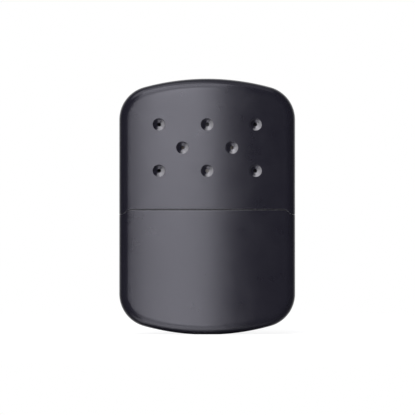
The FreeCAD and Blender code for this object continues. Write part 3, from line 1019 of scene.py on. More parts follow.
class Patterns:
    """Geometry node trees for what repeats or follows a path."""

    def __init__(self) -> None:
        """Build each tree once."""
        self.vents = self._vents()
        self.copies = self._copies()
        self.sweep = self._sweep()
        self.fibres = self._fibres()

    @staticmethod
    def _vents() -> Tree:
        """Rows of pressed vents, laid out flat and then wrapped to the curved face.

        Returns:
            The tree, ready to be placed.
        """
        tree = Pattern("pressed_vents", {
            "Geometry": "Geometry", "Vent": "Object", "Outer column": 0.0187, "Middle column": 0.0096,
            "Low row": 0.0633, "Row pitch": 0.00895, "Face radius": 0.1953, "Half depth": 0.00725})
        lines = []
        layout = (("Outer column", 3), ("Middle column", 2), ("Outer column", 3))
        for row, (column, count) in enumerate(layout):
            start = tree.xyz(X=tree.math("MULTIPLY", tree[column], -1.0),
                             Z=tree.math("MULTIPLY_ADD", tree["Row pitch"], float(row), tree["Low row"]))
            offset = tree.xyz(X=tree.math("MULTIPLY", tree[column], 2.0 / (count - 1)))
            plugs = {"Count": count, "Start Location": start, "Offset": offset}
            lines.append(tree.add("GeometryNodeMeshLine", plugs).outputs[0])
        turn = tree.turn((QUARTER, 0.0, 0.0))
        laid = tree.real(tree.copies(tree.join(*lines), tree.object("Vent"), turn))
        flat, face = tree.split(tree.where()), tree["Face radius"]
        angle = tree.math("DIVIDE", flat["X"], face)
        radius = tree.math("SUBTRACT", face, flat["Y"])
        across = tree.math("MULTIPLY", radius, tree.math("SINE", angle))
        centre = tree.math("SUBTRACT", face, tree["Half depth"])
        back = tree.math("SUBTRACT", centre, tree.math("MULTIPLY", radius, tree.math("COSINE", angle)))
        return tree.end(tree.move(laid, tree.xyz(X=across, Y=back, Z=flat["Z"])))

    @staticmethod
    def _copies() -> Tree:
        """Copies of one small piece at given places, each turned to its facing.

        Returns:
            The tree, ready to be placed.
        """
        tree = Pattern("placed_copies", {"Places": "Geometry", "Piece": "Object", "Size": 1.0})
        plugs = {"Name": FACING}
        facing = tree.add("GeometryNodeInputNamedAttribute", plugs, data_type="FLOAT_VECTOR").outputs[0]
        turn = tree.add("FunctionNodeAlignRotationToVector", {"Vector": facing}, axis="Z").outputs[0]
        return tree.end(tree.copies(tree["Places"], tree.object("Piece"), turn, tree["Size"]))

    @staticmethod
    def _sweep() -> Tree:
        """A section swept along a level path.

        Returns:
            The tree, ready to be placed.
        """
        tree = Pattern("swept_section", {"Path": "Geometry", "Section": "Object", "Capped": False})
        path = tree.add("GeometryNodeMeshToCurve", {0: tree["Path"]}).outputs[0]
        upright = tree.add("GeometryNodeSetCurveNormal", {"Curve": path}, mode="Z_UP").outputs[0]
        section = tree.add("GeometryNodeMeshToCurve", {0: tree.object("Section")}).outputs[0]
        plugs = {"Curve": upright, "Profile Curve": section, "Fill Caps": tree["Capped"]}
        return tree.end(tree.add("GeometryNodeCurveToMesh", plugs).outputs[0])

    @staticmethod
    def _fibres() -> Tree:
        """Short fibres that lie over a soft surface at random, from a fixed seed, combed down to it.

        Returns:
            The tree, ready to be placed.
        """
        tree = Pattern("loose_fibres", {
            "Pad": "Geometry", "Fibre": "Object", "Density": 300000.0, "Lift": 0.25, "Reach": 0.0003,
            "Seed": 7})
        pad, seed, lift = tree["Pad"], tree["Seed"], tree["Lift"]
        plugs = {"Mesh": pad, "Density": tree["Density"], "Seed": seed}
        spread = tree.add("GeometryNodeDistributePointsOnFaces", plugs).outputs
        most = tree.xyz(X=lift, Y=lift, Z=math.pi)
        plugs = {0: tree.vector("MULTIPLY", most, (-1.0, -1.0, -1.0)), 1: most, "Seed": seed}
        tilt = tree.add("FunctionNodeRandomValue", plugs, data_type="FLOAT_VECTOR").outputs[0]
        plugs = {2: 0.5, 3: 1.4, "Seed": seed}
        size = tree.add("FunctionNodeRandomValue", plugs, data_type="FLOAT").outputs[1]
        plugs = {0: spread["Rotation"], 1: tree.turn(tilt)}
        facing = tree.add("FunctionNodeRotateRotation", plugs, rotation_space="LOCAL").outputs[0]
        loose = tree.real(tree.copies(spread["Points"], tree.object("Fibre"), facing, size))
        here = tree.where()
        near = tree.add("GeometryNodeProximity", {0: pad, "Sample Position": here}).outputs
        share = tree.math("MINIMUM", tree.math("DIVIDE", tree["Reach"], near["Distance"]), 1.0)
        away = tree.vector("SCALE", tree.vector("SUBTRACT", here, near["Position"]), share)
        return tree.end(tree.join(pad, tree.move(loose, tree.vector("ADD", near["Position"], away))))

    @staticmethod
    def run(thing: Thing, tree: Tree, **values: Any) -> Thing:
        """Run a tree on an object and keep the result as its plain mesh.

        Args:
            thing: The object that carries the tree's first geometry.
            tree: The tree.
            **values: Input values; underscores in a name stand for spaces.

        Returns:
            The same object. Any other object among the values is removed.
        """
        modifier = thing.modifiers.new(tree.name, "NODES")
        modifier.node_group = tree
        sockets = {item.name: item.identifier for item in tree.interface.items_tree if item.in_out == "INPUT"}
        for name, value in values.items():
            modifier[sockets[name.replace("_", " ")]] = value
        bake_modifiers(thing)
        for value in values.values():
            if isinstance(value, Thing):
                bpy.data.objects.remove(value)
        return thing


# ---- forms ---------------------------------------------------------------------------
@dataclass(frozen=True)
class Oval:
    """A level stadium path: straight front and rear, round ends, run from the front middle."""

    half_x: float
    half_y: float

    @property
    def flat(self) -> float:
        """Half the length of the straight parts."""
        return self.half_x - self.half_y

    @property
    def bend(self) -> float:
        """Length of one round end."""
        return math.pi * self.half_y

    @property
    def length(self) -> float:
        """Length of the whole path."""
        return 4 * self.flat + 2 * math.pi * self.half_y

    def inset(self, by: float) -> Oval:
        """Return the path moved inward."""
        return Oval(self.half_x - by, self.half_y - by)

    def runs(self, straight: int, end: int) -> Array:
        """Return even samples along the path, with the joints among them.

        Args:
            straight: Samples of half a straight part.
            end: Samples of a round end.

        Returns:
            Lengths along the path.
        """
        right = self.flat + self.bend
        left = right + 2 * self.flat
        stops = [(0, self.flat, straight), (self.flat, right, end), (right, left, 2 * straight),
                 (left, self.length - self.flat, end), (self.length - self.flat, self.length, straight)]
        return np.concatenate([np.linspace(a, b, n, endpoint=False) for a, b, n in stops])

    def at(self, run: Array) -> tuple[Array, Array]:
        """Return points (n, 2) and outward normals (n, 2) at lengths along the path.

        Args:
            run: Lengths along the path.

        Returns:
            The points, and the normals.
        """
        run = np.mod(run, self.length)
        none, flat, bend = 0 * run, self.flat, self.bend
        right = (run - flat) / self.half_y - QUARTER
        left = (run - 3 * flat - bend) / self.half_y + QUARTER
        cases = [run < flat, run < flat + bend, run < 3 * flat + bend, run < 3 * flat + 2 * bend]
        centre = np.select(cases, [run, flat + none, 2 * flat + bend - run, none - flat], run - self.length)
        nx = np.select(cases, [none, np.cos(right), none, np.cos(left)], 0.0)
        ny = np.select(cases, [none - 1, np.sin(right), none + 1, np.sin(left)], -1.0)
        normals = np.stack([nx, ny], 1)
        return np.stack([centre, none], 1) + self.half_y * normals, normals

    def across(self, x: Array) -> Array:
        """Return the run from the middle of a straight part to where x falls on the path.

        Args:
            x: Where to look, along the long way.

        Returns:
            The run from the middle.
        """
        over = np.clip((np.abs(x) - self.flat) / self.half_y, 0, 1)
        bent = self.flat + self.half_y * np.arcsin(over)
        return np.sign(x) * np.where(np.abs(x) <= self.flat, np.abs(x), bent)


@dataclass(frozen=True)
class Window:
    """A rounded opening in a flat layout."""

    x: float
    z: float
    width: float
    height: float
    corner: float

    def outline(self, grow: float) -> tuple[Array, Array]:
        """Return the opening's line, grown outward, and the directions into the opening.

        Args:
            grow: How far outside the opening the line lies.

        Returns:
            The line, and the directions.
        """
        reach = np.array([self.width / 2 - self.corner, self.height / 2 - self.corner])
        line, inward = [], []
        for turn, sign in enumerate(((1, 1), (-1, 1), (-1, -1), (1, -1))):
            for angle in arc(6) + turn * QUARTER:
                way = np.array([math.cos(angle), math.sin(angle)])
                line.append(reach * sign + (self.corner + grow) * way)
                inward.append(-way)
        points, toward = [], []
        for i, here in enumerate(line):
            j = (i + 1) % len(line)
            step = line[j] - here
            count = max(1, int(np.linalg.norm(step) / 0.7))
            for k in range(count):
                points.append(here + step * k / count)
                toward.append(inward[i] if k == 0 else (inward[i] + inward[j]) / 2)
        return np.array(points) + [self.x, self.z], np.array(toward)


@dataclass(frozen=True)
class Punch:
    """Round punching of a sheet on a staggered pitch."""

    radius: float
    pitch: float
    segments: int = 12

    @property
    def rim(self) -> float:
        """Radius where the hole's rounding starts."""
        return self.radius * 1.14

    @property
    def row_pitch(self) -> float:
        """Distance between rows of holes."""
        return self.pitch * HEX

    def holes(self, places: Sequence[tuple[float, float]]) -> list[Array]:
        """Return the line of each hole in a flat layout."""
        return [circle(x, z, self.rim, self.segments) for x, z in places]

    def field(self, reach_x: float, reach_z: float) -> list[tuple[float, float]]:
        """Return staggered hole places within a half width and half height.

        Args:
            reach_x: Half of the width.
            reach_z: Half of the height.

        Returns:
            The middles of the holes.
        """
        count = int(reach_z / self.row_pitch)
        places = []
        for row in range(-count, count + 1):
            shift = self.pitch / 2 if row % 2 else 0.0
            columns = int((reach_x + shift) / self.pitch) + 1
            row_places = [column * self.pitch + shift for column in range(-columns, columns + 1)]
            places += [(x, row * self.row_pitch) for x in row_places if abs(x) <= reach_x]
        return places

    def edges(self, patterns: Patterns, sheet: float, places: Array, facing: Array,
              finish: Material) -> Thing:
        """Turn the edge of one hole and copy it to every place.

        Args:
            patterns: The geometry node trees.
            sheet: Thickness of the punched sheet.
            places: Middle of each hole on the outside of the sheet.
            facing: Which way the outside looks.
            finish: The sheet's finish.

        Returns:
            The edges, as one object.
        """
        round_off = self.rim - self.radius
        steps = [(self.rim, 0.0, 0.0), (self.radius, -round_off, 1.0),
                 (self.radius, round_off - sheet, 1.0), (self.rim, -sheet, 0.0)]
        edge = turned("punched_edge", steps, self.segments)
        return patterns.run(spots("punch_places", places, facing), patterns.copies, Piece=edge, Size=1.0,
                            Finish=finish)


@dataclass
class Cup:
    """An inverted oval cup of sheet metal, plain or punched."""

    patterns: Patterns
    oval: Oval
    bottom: float
    top: float
    sheet: float
    roll: float
    rounding: float
    straight: int = 18
    end: int = 26
    spacing: float = 1.0

    @property
    def shoulder(self) -> float:
        """Height where the wall starts to roll into the top."""
        return self.top - self.roll

    def row(self, inset: float, z: float, lean: float) -> tuple[Array, Array]:
        """Return one level row of points and normals around the cup.

        Args:
            inset: How far inside the cup's path.
            z: Height.
            lean: Angle of the normals above level.

        Returns:
            The points, and the normals.
        """
        path = self.oval.inset(inset)
        flat, out = path.at(path.runs(self.straight, self.end))
        return at_height(flat, z), at_height(out * math.cos(lean), math.sin(lean))

    def rows(self, skin: Skin, steps: Sequence[tuple[float, float, float]]) -> None:
        """Add lattice rows of (inset, z, lean) to the skin."""
        points, normals = zip(*(self.row(*step) for step in steps))
        skin.lattice(np.stack(points), np.stack(normals), wrap=True)

    def wall(self, skin: Skin, low: float, high: float, levels: int, inset: float = 0.0) -> None:
        """Add a plain wall between two heights."""
        self.rows(skin, [(inset, z, 0.0) for z in np.linspace(low, high, levels)])

    def rolled(self, steps: int = 7) -> list[tuple[float, float, float]]:
        """Return the steps of the roll from wall to top."""
        return [(self.roll * (1 - math.cos(a)), self.shoulder + self.roll * math.sin(a), a)
                for a in arc(steps)]

    def wall_loop(self, path: Oval, low: float, high: float, levels: int = 10) -> Array:
        """Return the border of the unrolled wall between two heights.

        Args:
            path: The wall's path.
            low: Lower height.
            high: Upper height.
            levels: Points up each end of the border.

        Returns:
            The border, run and height of each point.
        """
        runs, rise = path.runs(self.straight, self.end), np.linspace(low, high, levels)
        lower = np.stack([runs, np.full(len(runs), low)], 1)
        upper = np.stack([runs[::-1], np.full(len(runs), high)], 1)
        right = np.stack([np.full(levels, path.length), rise], 1)
        left = np.stack([np.zeros(levels - 2), rise[::-1][1:-1]], 1)
        return np.concatenate([lower, right, upper, left])

    @staticmethod
    def on_wall(path: Oval, flat: Array) -> tuple[Array, Array, Array]:
        """Return points, normals and tangents of the wall from its unrolled layout.

        Args:
            path: The wall's path.
            flat: Run and height of each point (n, 2).

        Returns:
            The points, normals and tangents.
        """
        plan, out = path.at(flat[:, 0])
        seam = np.isclose(flat[:, 0], path.length)
        plan[seam], out[seam] = path.at(np.zeros(1))
        normals = level(out)
        return at_height(plan, flat[:, 1]), normals, np.cross(UP, normals)

    def windowed_wall(self, skin: Skin, inset: float, low: float, high: float, windows: Sequence[Window],
                      to_run: Callable[[Array, int], Array]) -> None:
        """Add a wall band with framed windows.

        Args:
            skin: The skin to add to.
            inset: How far the band lies inside the cup's path.
            low: Lower height of the band.
            high: Upper height of the band.
            windows: The openings, in the layout that to_run unrolls.
            to_run: Turns a window's X values into runs, from the values and its index.
        """
        path = self.oval.inset(inset)
        frames = []
        for index, window in enumerate(windows):
            line, inward = window.outline(self.rounding)
            ahead = to_run(np.array([window.x + 0.01, window.x]), index)
            sign = 1.0 if ahead[0] > ahead[1] else -1.0
            frames.append((np.column_stack([to_run(line[:, 0], index), line[:, 1]]), inward, sign))
        flat, faces = fill([self.wall_loop(path, low, high), *(line for line, _, _ in frames)], self.spacing)
        points, normals, _ = self.on_wall(path, flat)
        skin.patches.append((points, normals, faces))
        for line, inward, sign in frames:
            points, normals, tangents = self.on_wall(path, line)
            skin.border(points, normals, tangents * (sign * inward[:, :1]) + UP * inward[:, 1:])

    def plate(self, skin: Skin, holes: Sequence[Array] = (), windows: Sequence[Window] = ()) -> None:
        """Add the flat top with bare holes or framed windows.

        Args:
            skin: The skin that takes the top.
            holes: Outlines of bare holes.
            windows: Windows, each with a border.
        """
        edge, _ = self.row(self.roll, self.top, QUARTER)
        frames = [window.outline(self.rounding) for window in windows]
        skin.plate(self.top, self.spacing, edge[:, :2], holes, frames)

    def foot(self, skin: Skin) -> None:
        """Leave the lower border free."""
        skin.border(*self.row(0.0, self.bottom + self.rounding, 0.0), -UP)

    def punched(self, punch: Punch, finish: Material, walls: bool = True, margin: float = 0.25) -> Solid:
        """Punch the cup over its top and, if asked, all round its wall.

        Args:
            punch: The punching.
            finish: The cup's finish.
            walls: Whether the wall is punched too.
            margin: Plain metal left along each border.

        Returns:
            The closed cup.
        """
        skin = Skin()
        low, high, foot = self.bottom + margin + punch.rim, self.shoulder - 0.1, self.bottom + self.rounding
        if walls:
            strip, faces = self.punched_wall(punch, finish, low, high)
            self.wall(skin, foot, low, 3)
            self.rows(skin, [(0.0, high, 0.0), *self.rolled()])
        else:
            self.wall(skin, foot, self.shoulder, 4)
            self.rows(skin, self.rolled())
        inner = self.oval.inset(self.roll)
        reach = inner.half_y - punch.rim - margin
        places = [(x, y) for x, y in punch.field(inner.half_x, inner.half_y)
                  if math.hypot(max(abs(x) - inner.flat, 0), y) < reach]
        self.plate(skin, punch.holes(places))
        self.foot(skin)
        solid = skin.solid(self.sheet, self.rounding)
        middles = at_height(np.array(places), self.top)
        solid.swallow(punch.edges(self.patterns, self.sheet, middles, UP, finish))
        if walls:
            solid.add(strip, faces)
        return solid

    def punched_wall(self, punch: Punch, finish: Material, low: float, high: float) -> tuple[Array, Faces]:
        """Punch the wall as a flat strip, then wrap the strip round the path.

        Args:
            punch: The punching.
            finish: The cup's finish.
            low: Lower height of the strip.
            high: Upper height of the strip.

        Returns:
            The wrapped points and the strip's faces.
        """
        path = self.oval
        count = round(path.length / punch.pitch)
        step = path.length / count
        levels = int((high - low - 2 * punch.rim) / punch.row_pitch) + 1
        base = (low + high - (levels - 1) * punch.row_pitch) / 2
        places = []
        for row in range(levels):
            odd = row % 2
            shift = 0.0 if odd else 0.5
            places += [((column + shift) * step, base + row * punch.row_pitch)
                       for column in range(odd, count)]
        flat, faces = fill([self.wall_loop(path, low, high), *punch.holes(places)], self.spacing)
        strip = Solid()
        front = np.column_stack([flat[:, 0], np.zeros(len(flat)), flat[:, 1]])
        strip.add(front, faces)
        strip.add(front + np.array([0.0, self.sheet, 0.0]), faces)
        middles = np.array([(x, 0.0, z) for x, z in places])
        strip.swallow(punch.edges(self.patterns, self.sheet, middles, np.array([0.0, -1.0, 0.0]), finish))
        points = np.concatenate(strip.points)
        plan, out = path.at(np.clip(points[:, 0], 0, path.length - 1e-9))
        return at_height(plan - points[:, 1:2] * out, points[:, 2]), strip.faces


@dataclass(frozen=True)
class Pebble:
    """The outer form that both shells are drawn to."""

    width: float = 68.2
    depth: float = 14.5
    height: float = 99.0
    end_radius: float = 94.0
    corner: float = 13.0
    side_depth: float = 8.5
    roll: float = 4.1
    land_cut: float = 0.13
    seam_z: float = 48.3
    seam_gap: float = 0.35
    seam_dip: float = 1.8
    dip_run: float = 4.0
    dip_margin: float = 0.7
    side_gap: float = 0.024
    spacing: float = 1.3

    @property
    def half(self) -> float:
        """Half the width."""
        return self.width / 2

    @property
    def face_radius(self) -> float:
        """Radius of the broad faces in plan."""
        sag = (self.depth - self.side_depth) / 2
        return (self.half ** 2 + sag ** 2) / (2 * sag)

    @property
    def corner_z(self) -> float:
        """Height at which the sides end and the corner arcs start."""
        end, corner = self.end_radius, self.corner
        return self.height - end + math.sqrt((end - corner) ** 2 - (self.half - corner) ** 2)

    @property
    def lean(self) -> float:
        """Angle from upright where a corner arc meets the end arc."""
        return math.atan2(self.half - self.corner, self.corner_z - self.height + self.end_radius)

    @property
    def whole(self) -> float:
        """Height that the lower half is turned over in; the land is cut off it."""
        return self.height - self.land_cut

    def dip(self, x: Array) -> Array:
        """Return how far x lies into the dip of the seam, from 0 to its run."""
        return np.clip(np.abs(x) - (self.half - self.dip_margin - self.dip_run), 0, self.dip_run)

    def drop(self, x: Array) -> Array:
        """Return how far the seam has dropped at x.

        Args:
            x: Distance from the middle of the face.

        Returns:
            The drop.
        """
        bend = (self.dip_run ** 2 + self.seam_dip ** 2) / 4 / self.seam_dip
        run = self.dip(x)
        part = bend - np.sqrt(bend ** 2 - np.minimum(run, self.dip_run - run) ** 2)
        return np.where(run <= self.dip_run / 2, part, self.seam_dip - part)

    def half_gap(self, x: Array) -> Array:
        """Return half the width of the seam at x; the halves meet at the narrow sides."""
        return (self.seam_gap - (self.seam_gap - self.side_gap) * ease(self.dip(x) / self.dip_run)) / 2

    def on_face(self, run: Array, z: Array, side: Side) -> tuple[Array, Array]:
        """Return points and normals of a face from arc length along it and height.

        Args:
            run: Arc length along the face.
            z: Height.
            side: Which of the two faces.

        Returns:
            The points, and the normals.
        """
        turn = run / self.face_radius
        y = side.value * (self.depth / 2 - self.face_radius * (1 - np.cos(turn)))
        normals = np.stack([np.sin(turn), side.value * np.cos(turn), np.zeros_like(turn)], -1)
        return np.stack([self.face_radius * np.sin(turn), y, z], -1), normals

    def ring(self, core: Array, normal: Array, steps: int, flat: int) -> tuple[Array, Array]:
        """Return the cross rows from front face to rear face over the edge rolls.

        Args:
            core: Outline points (n, 2) in X and Z.
            normal: Outline normals (n, 2).
            steps: Facets in each roll.
            flat: Facets in the strip between the rolls.

        Returns:
            Points and normals, both (n, rows, 3).
        """
        inner = self.face_radius - self.roll
        x, z = (core - self.roll * normal).T
        y = self.depth / 2 - self.face_radius + np.sqrt(inner ** 2 - x ** 2)
        rim = np.stack([normal[:, 0], np.zeros(len(x)), normal[:, 1]], 1)
        rows, normals = [], []
        for side, order in ((Side.FRONT, range(steps, -1, -1)), (Side.REAR, range(steps + 1))):
            centre = np.stack([x, side.value * y, z], 1)
            face = np.stack([x / inner, side.value * np.sqrt(1 - (x / inner) ** 2), np.zeros(len(x))], 1)
            wide = np.arccos(np.clip((rim * face).sum(1), -1, 1))[:, None]
            for t in (step / steps for step in order):
                n = (np.sin((1 - t) * wide) * rim + np.sin(t * wide) * face) / np.sin(wide)
                rows.append(centre + self.roll * n)
                normals.append(n)
            for step in range(1, flat if side is Side.FRONT else 1):
                strip = centre + self.roll * rim
                strip[:, 1] *= 1 - 2 * step / flat
                rows.append(strip)
                normals.append(rim)
        return np.stack(rows, 1), np.stack(normals, 1)

    def outline(self, sides: int = 26, corners: int = 18, end: int = 20) -> tuple[Array, Array, Array]:
        """Return the upper outline from the right seam to the left seam.

        Args:
            sides: Points in each straight side.
            corners: Facets in each corner arc.
            end: Facets in half of the end arc.

        Returns:
            Points (n, 2), normals (n, 2), and the share of the way down the straight
            side, which is 0 beyond the sides.
        """
        points = [[self.half, self.corner_z]] * sides
        normals = [[1.0, 0.0]] * sides
        share = list(np.linspace(1, 0, sides))
        bends = ((corners, QUARTER, self.lean, self.corner, self.half - self.corner, self.corner_z),
                 (end, self.lean, 0.0, self.end_radius, 0.0, self.height - self.end_radius))
        for steps, start, stop, radius, x, z in bends:
            for angle in arc(steps, stop, start)[1:]:
                normals.append([math.sin(angle), math.cos(angle)])
                points.append([x + radius * math.sin(angle), z + radius * math.cos(angle)])
                share.append(0.0)
        points += [[-x, z] for x, z in reversed(points[:-1])]
        normals += [[-x, z] for x, z in reversed(normals[:-1])]
        share += reversed(share[:-1])
        return np.array(points), np.array(normals), np.array(share)

    def girth(self, inset: float, runs: Array) -> tuple[Array, Array]:
        """Return the plan of the form at mid height, from the front's left end.

        Args:
            inset: How far inside the form.
            runs: Samples along each face, as arc length within the face.

        Returns:
            Points (n, 2) and outward normals (n, 2).
        """
        points, normals = self.ring(np.array([[self.half, self.corner_z]]), np.array([[1.0, 0.0]]), 8, 4)
        right, out = points[0, :, :2], normals[0, :, :2]
        end = self.face_radius * math.asin(out[0, 0])
        runs = runs[np.abs(runs) < end - 0.05]
        front, front_out = self.on_face(runs, 0 * runs, Side.FRONT)
        rear, rear_out = self.on_face(runs[::-1], 0 * runs, Side.REAR)
        plan = np.concatenate([front[:, :2], right, rear[:, :2], right[::-1] * MIRROR])
        normal = np.concatenate([front_out[:, :2], out, rear_out[:, :2], out[::-1] * MIRROR])
        return plan - inset * normal, normal

    def bottom(self, plan: Array, inset: float) -> Array:
        """Return the height of the form's underside, moved inward, at plan points (n, 2).

        Args:
            plan: Plan points (n, 2).
            inset: How far inside the form.

        Returns:
            One height for each point.
        """
        x, y = np.abs(plan[:, 0]), np.abs(plan[:, 1])
        end, corner, face, roll = (radius - inset for radius in
                                   (self.end_radius, self.corner, self.face_radius, self.roll))
        low = self.whole - self.height + self.end_radius - np.sqrt(end ** 2 - x ** 2)
        beyond = np.clip(x - self.half + self.corner, 0, corner * 0.995)
        bend = self.whole - self.corner_z - np.sqrt(corner ** 2 - beyond ** 2)
        low = np.where(x < end * math.sin(self.lean), low, bend)
        reach = self.depth / 2 - self.face_radius + np.sqrt(face ** 2 - x ** 2)
        over = np.clip(y - reach + roll, 0, roll * 0.98)
        return low + roll - np.sqrt(roll ** 2 - over ** 2)

    def half_shell(self, edge_z: Callable[[Array], Array], holes: Sequence[Array]) -> Skin:
        """Return the skin of the form above a border line.

        Args:
            edge_z: Height of the skin's lower border at x.
            holes: Openings of the front face, as arc length and height.

        Returns:
            The skin, with its lower border free.
        """
        core, normal, share = self.outline()
        points, normals = self.ring(core, normal, 12, 6)
        points[..., 2] += share[:, None] * (edge_z(points[..., 0]) - self.corner_z)
        skin = Skin()
        skin.lattice(points, normals)
        contact = self.face_radius * np.arcsin(normals[:, 0, 0])
        along = np.linspace(-contact[0], contact[0], 61)[1:-1]
        seam = np.stack([along, edge_z(self.face_radius * np.sin(along / self.face_radius))], 1)
        loop = np.concatenate([np.stack([contact, points[:, 0, 2]], 1), seam])
        lines = []
        for side in Side:
            flat, faces = fill([loop, *(holes if side is Side.FRONT else [])], self.spacing)
            skin.patches.append((*self.on_face(flat[:, 0], flat[:, 1], side), faces))
            lines.append(self.on_face(seam[:, 0], seam[:, 1], side))
        (front, front_out), (rear, rear_out) = lines
        rim = np.concatenate([front, points[0], rear[::-1], points[-1][::-1]])
        skin.border(rim, np.concatenate([front_out, normals[0], rear_out[::-1], normals[-1][::-1]]), -UP)
        return skin


# ---- how pieces are made and handed over ---------------------------------------------
@dataclass(frozen=True)
class Nap:
    """Loose fibres over a soft piece: how many in each square millimetre, and their size."""

    density: float
    length: float
    thickness: float
    reach: float
    seed: int
    lift: float = 0.22
    sides: int = 3

    def strand(self) -> Thing:
        """Make one fibre: slim, pointed, and curled to the side and upward.

        Returns:
            The fibre, for use as a copy.
        """
        turn = np.arange(self.sides) * 2 * math.pi / self.sides
        rows = []
        for share in np.linspace(-0.5, 0.5, 5):
            radius = self.thickness / 2 * (1.0 - 1.4 * share ** 2)
            curl = [share, 0.12 * math.sin(share * 4.0), 0.16 * (0.25 - share ** 2)]
            ring = np.column_stack([0 * turn, radius * np.cos(turn), radius * np.sin(turn)])
            rows.append(ring + self.length * np.array(curl))
        fibre = Solid()
        fibre.add(np.stack(rows), lattice_faces(len(rows), self.sides) + [(2, 1, 0), (12, 13, 14)])
        return fibre.place("strand")


@dataclass
class Maker:
    """What every sub-assembly shares: its patterns, and how a piece is finished and handed over."""

    patterns: Patterns

    @staticmethod
    def hand_over(thing: Thing, body: Body, slot: Slot, *nodes: str) -> None:
        """Ride a finished piece on its body, in place of its CAD nodes.

        Args:
            thing: The finished piece.
            body: The body that it rides.
            slot: Its kind of finish; not used.
            nodes: The CAD nodes that it stands for.
        """
        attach(thing, body.value)
        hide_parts(*nodes)
        log.info("%s: %d faces on %s, for %s", thing.name, len(thing.data.polygons), body.value,
                 ", ".join(nodes))

    @staticmethod
    def dress(thing: Thing, finish: Material, sharp: float = 50.0) -> Thing:
        """Give a piece its one finish, then weld and shade it.

        Args:
            thing: The piece.
            finish: Its finish.
            sharp: Edges above this many degrees stay sharp.

        Returns:
            The same piece.
        """
        thing.data.materials.clear()
        thing.data.materials.append(finish)
        return finish_mesh(thing, sharp)

    def piece(self, name: str, solid: Solid, finish: Material, sharp: float = 50.0) -> Thing:
        """Make a finished piece from a solid."""
        return self.dress(solid.place(name), finish, sharp)

    def swept(self, name: str, path: Array, section: Sequence[tuple[float, float]], finish: Material,
              closed: bool = True) -> Thing:
        """Sweep a closed section along a level path by geometry nodes.

        Args:
            name: The piece's name.
            path: Plan points of the path (n, 2), anticlockwise from above.
            section: Offset outward from the path and height, around the section.
            finish: Its finish.
            closed: Whether the path closes.

        Returns:
            The finished piece.
        """
        thing = line_of(name, level(path), closed)
        profile = line_of(name + "_section", np.array([(out, -z, 0.0) for out, z in section]))
        self.patterns.run(thing, self.patterns.sweep, Section=profile, Capped=not closed, Finish=finish)
        return self.dress(thing, finish, 40.0)

    def soft(self, name: str, solid: Solid, finish: Material, rough: tuple[float, float, float],
             nap: Nap) -> Thing:
        """Make a soft piece: rough all over, with loose fibres combed down to it.

        Args:
            name: The piece's name.
            solid: Its shape.
            finish: Its finish.
            rough: Depth, cells in each millimetre and place of the roughness.
            nap: Its loose fibres.

        Returns:
            The finished piece.
        """
        thing = self.piece(name, solid, finish, sharp=180.0)
        roughen(thing, *rough)
        self.patterns.run(thing, self.patterns.fibres, Fibre=nap.strand(), Density=nap.density / MM ** 2,
                          Lift=nap.lift, Reach=nap.reach * MM, Seed=nap.seed, Finish=finish)
        thing.data.shade_smooth()
        thing.data.materials.clear()
        thing.data.materials.append(finish)
        return thing


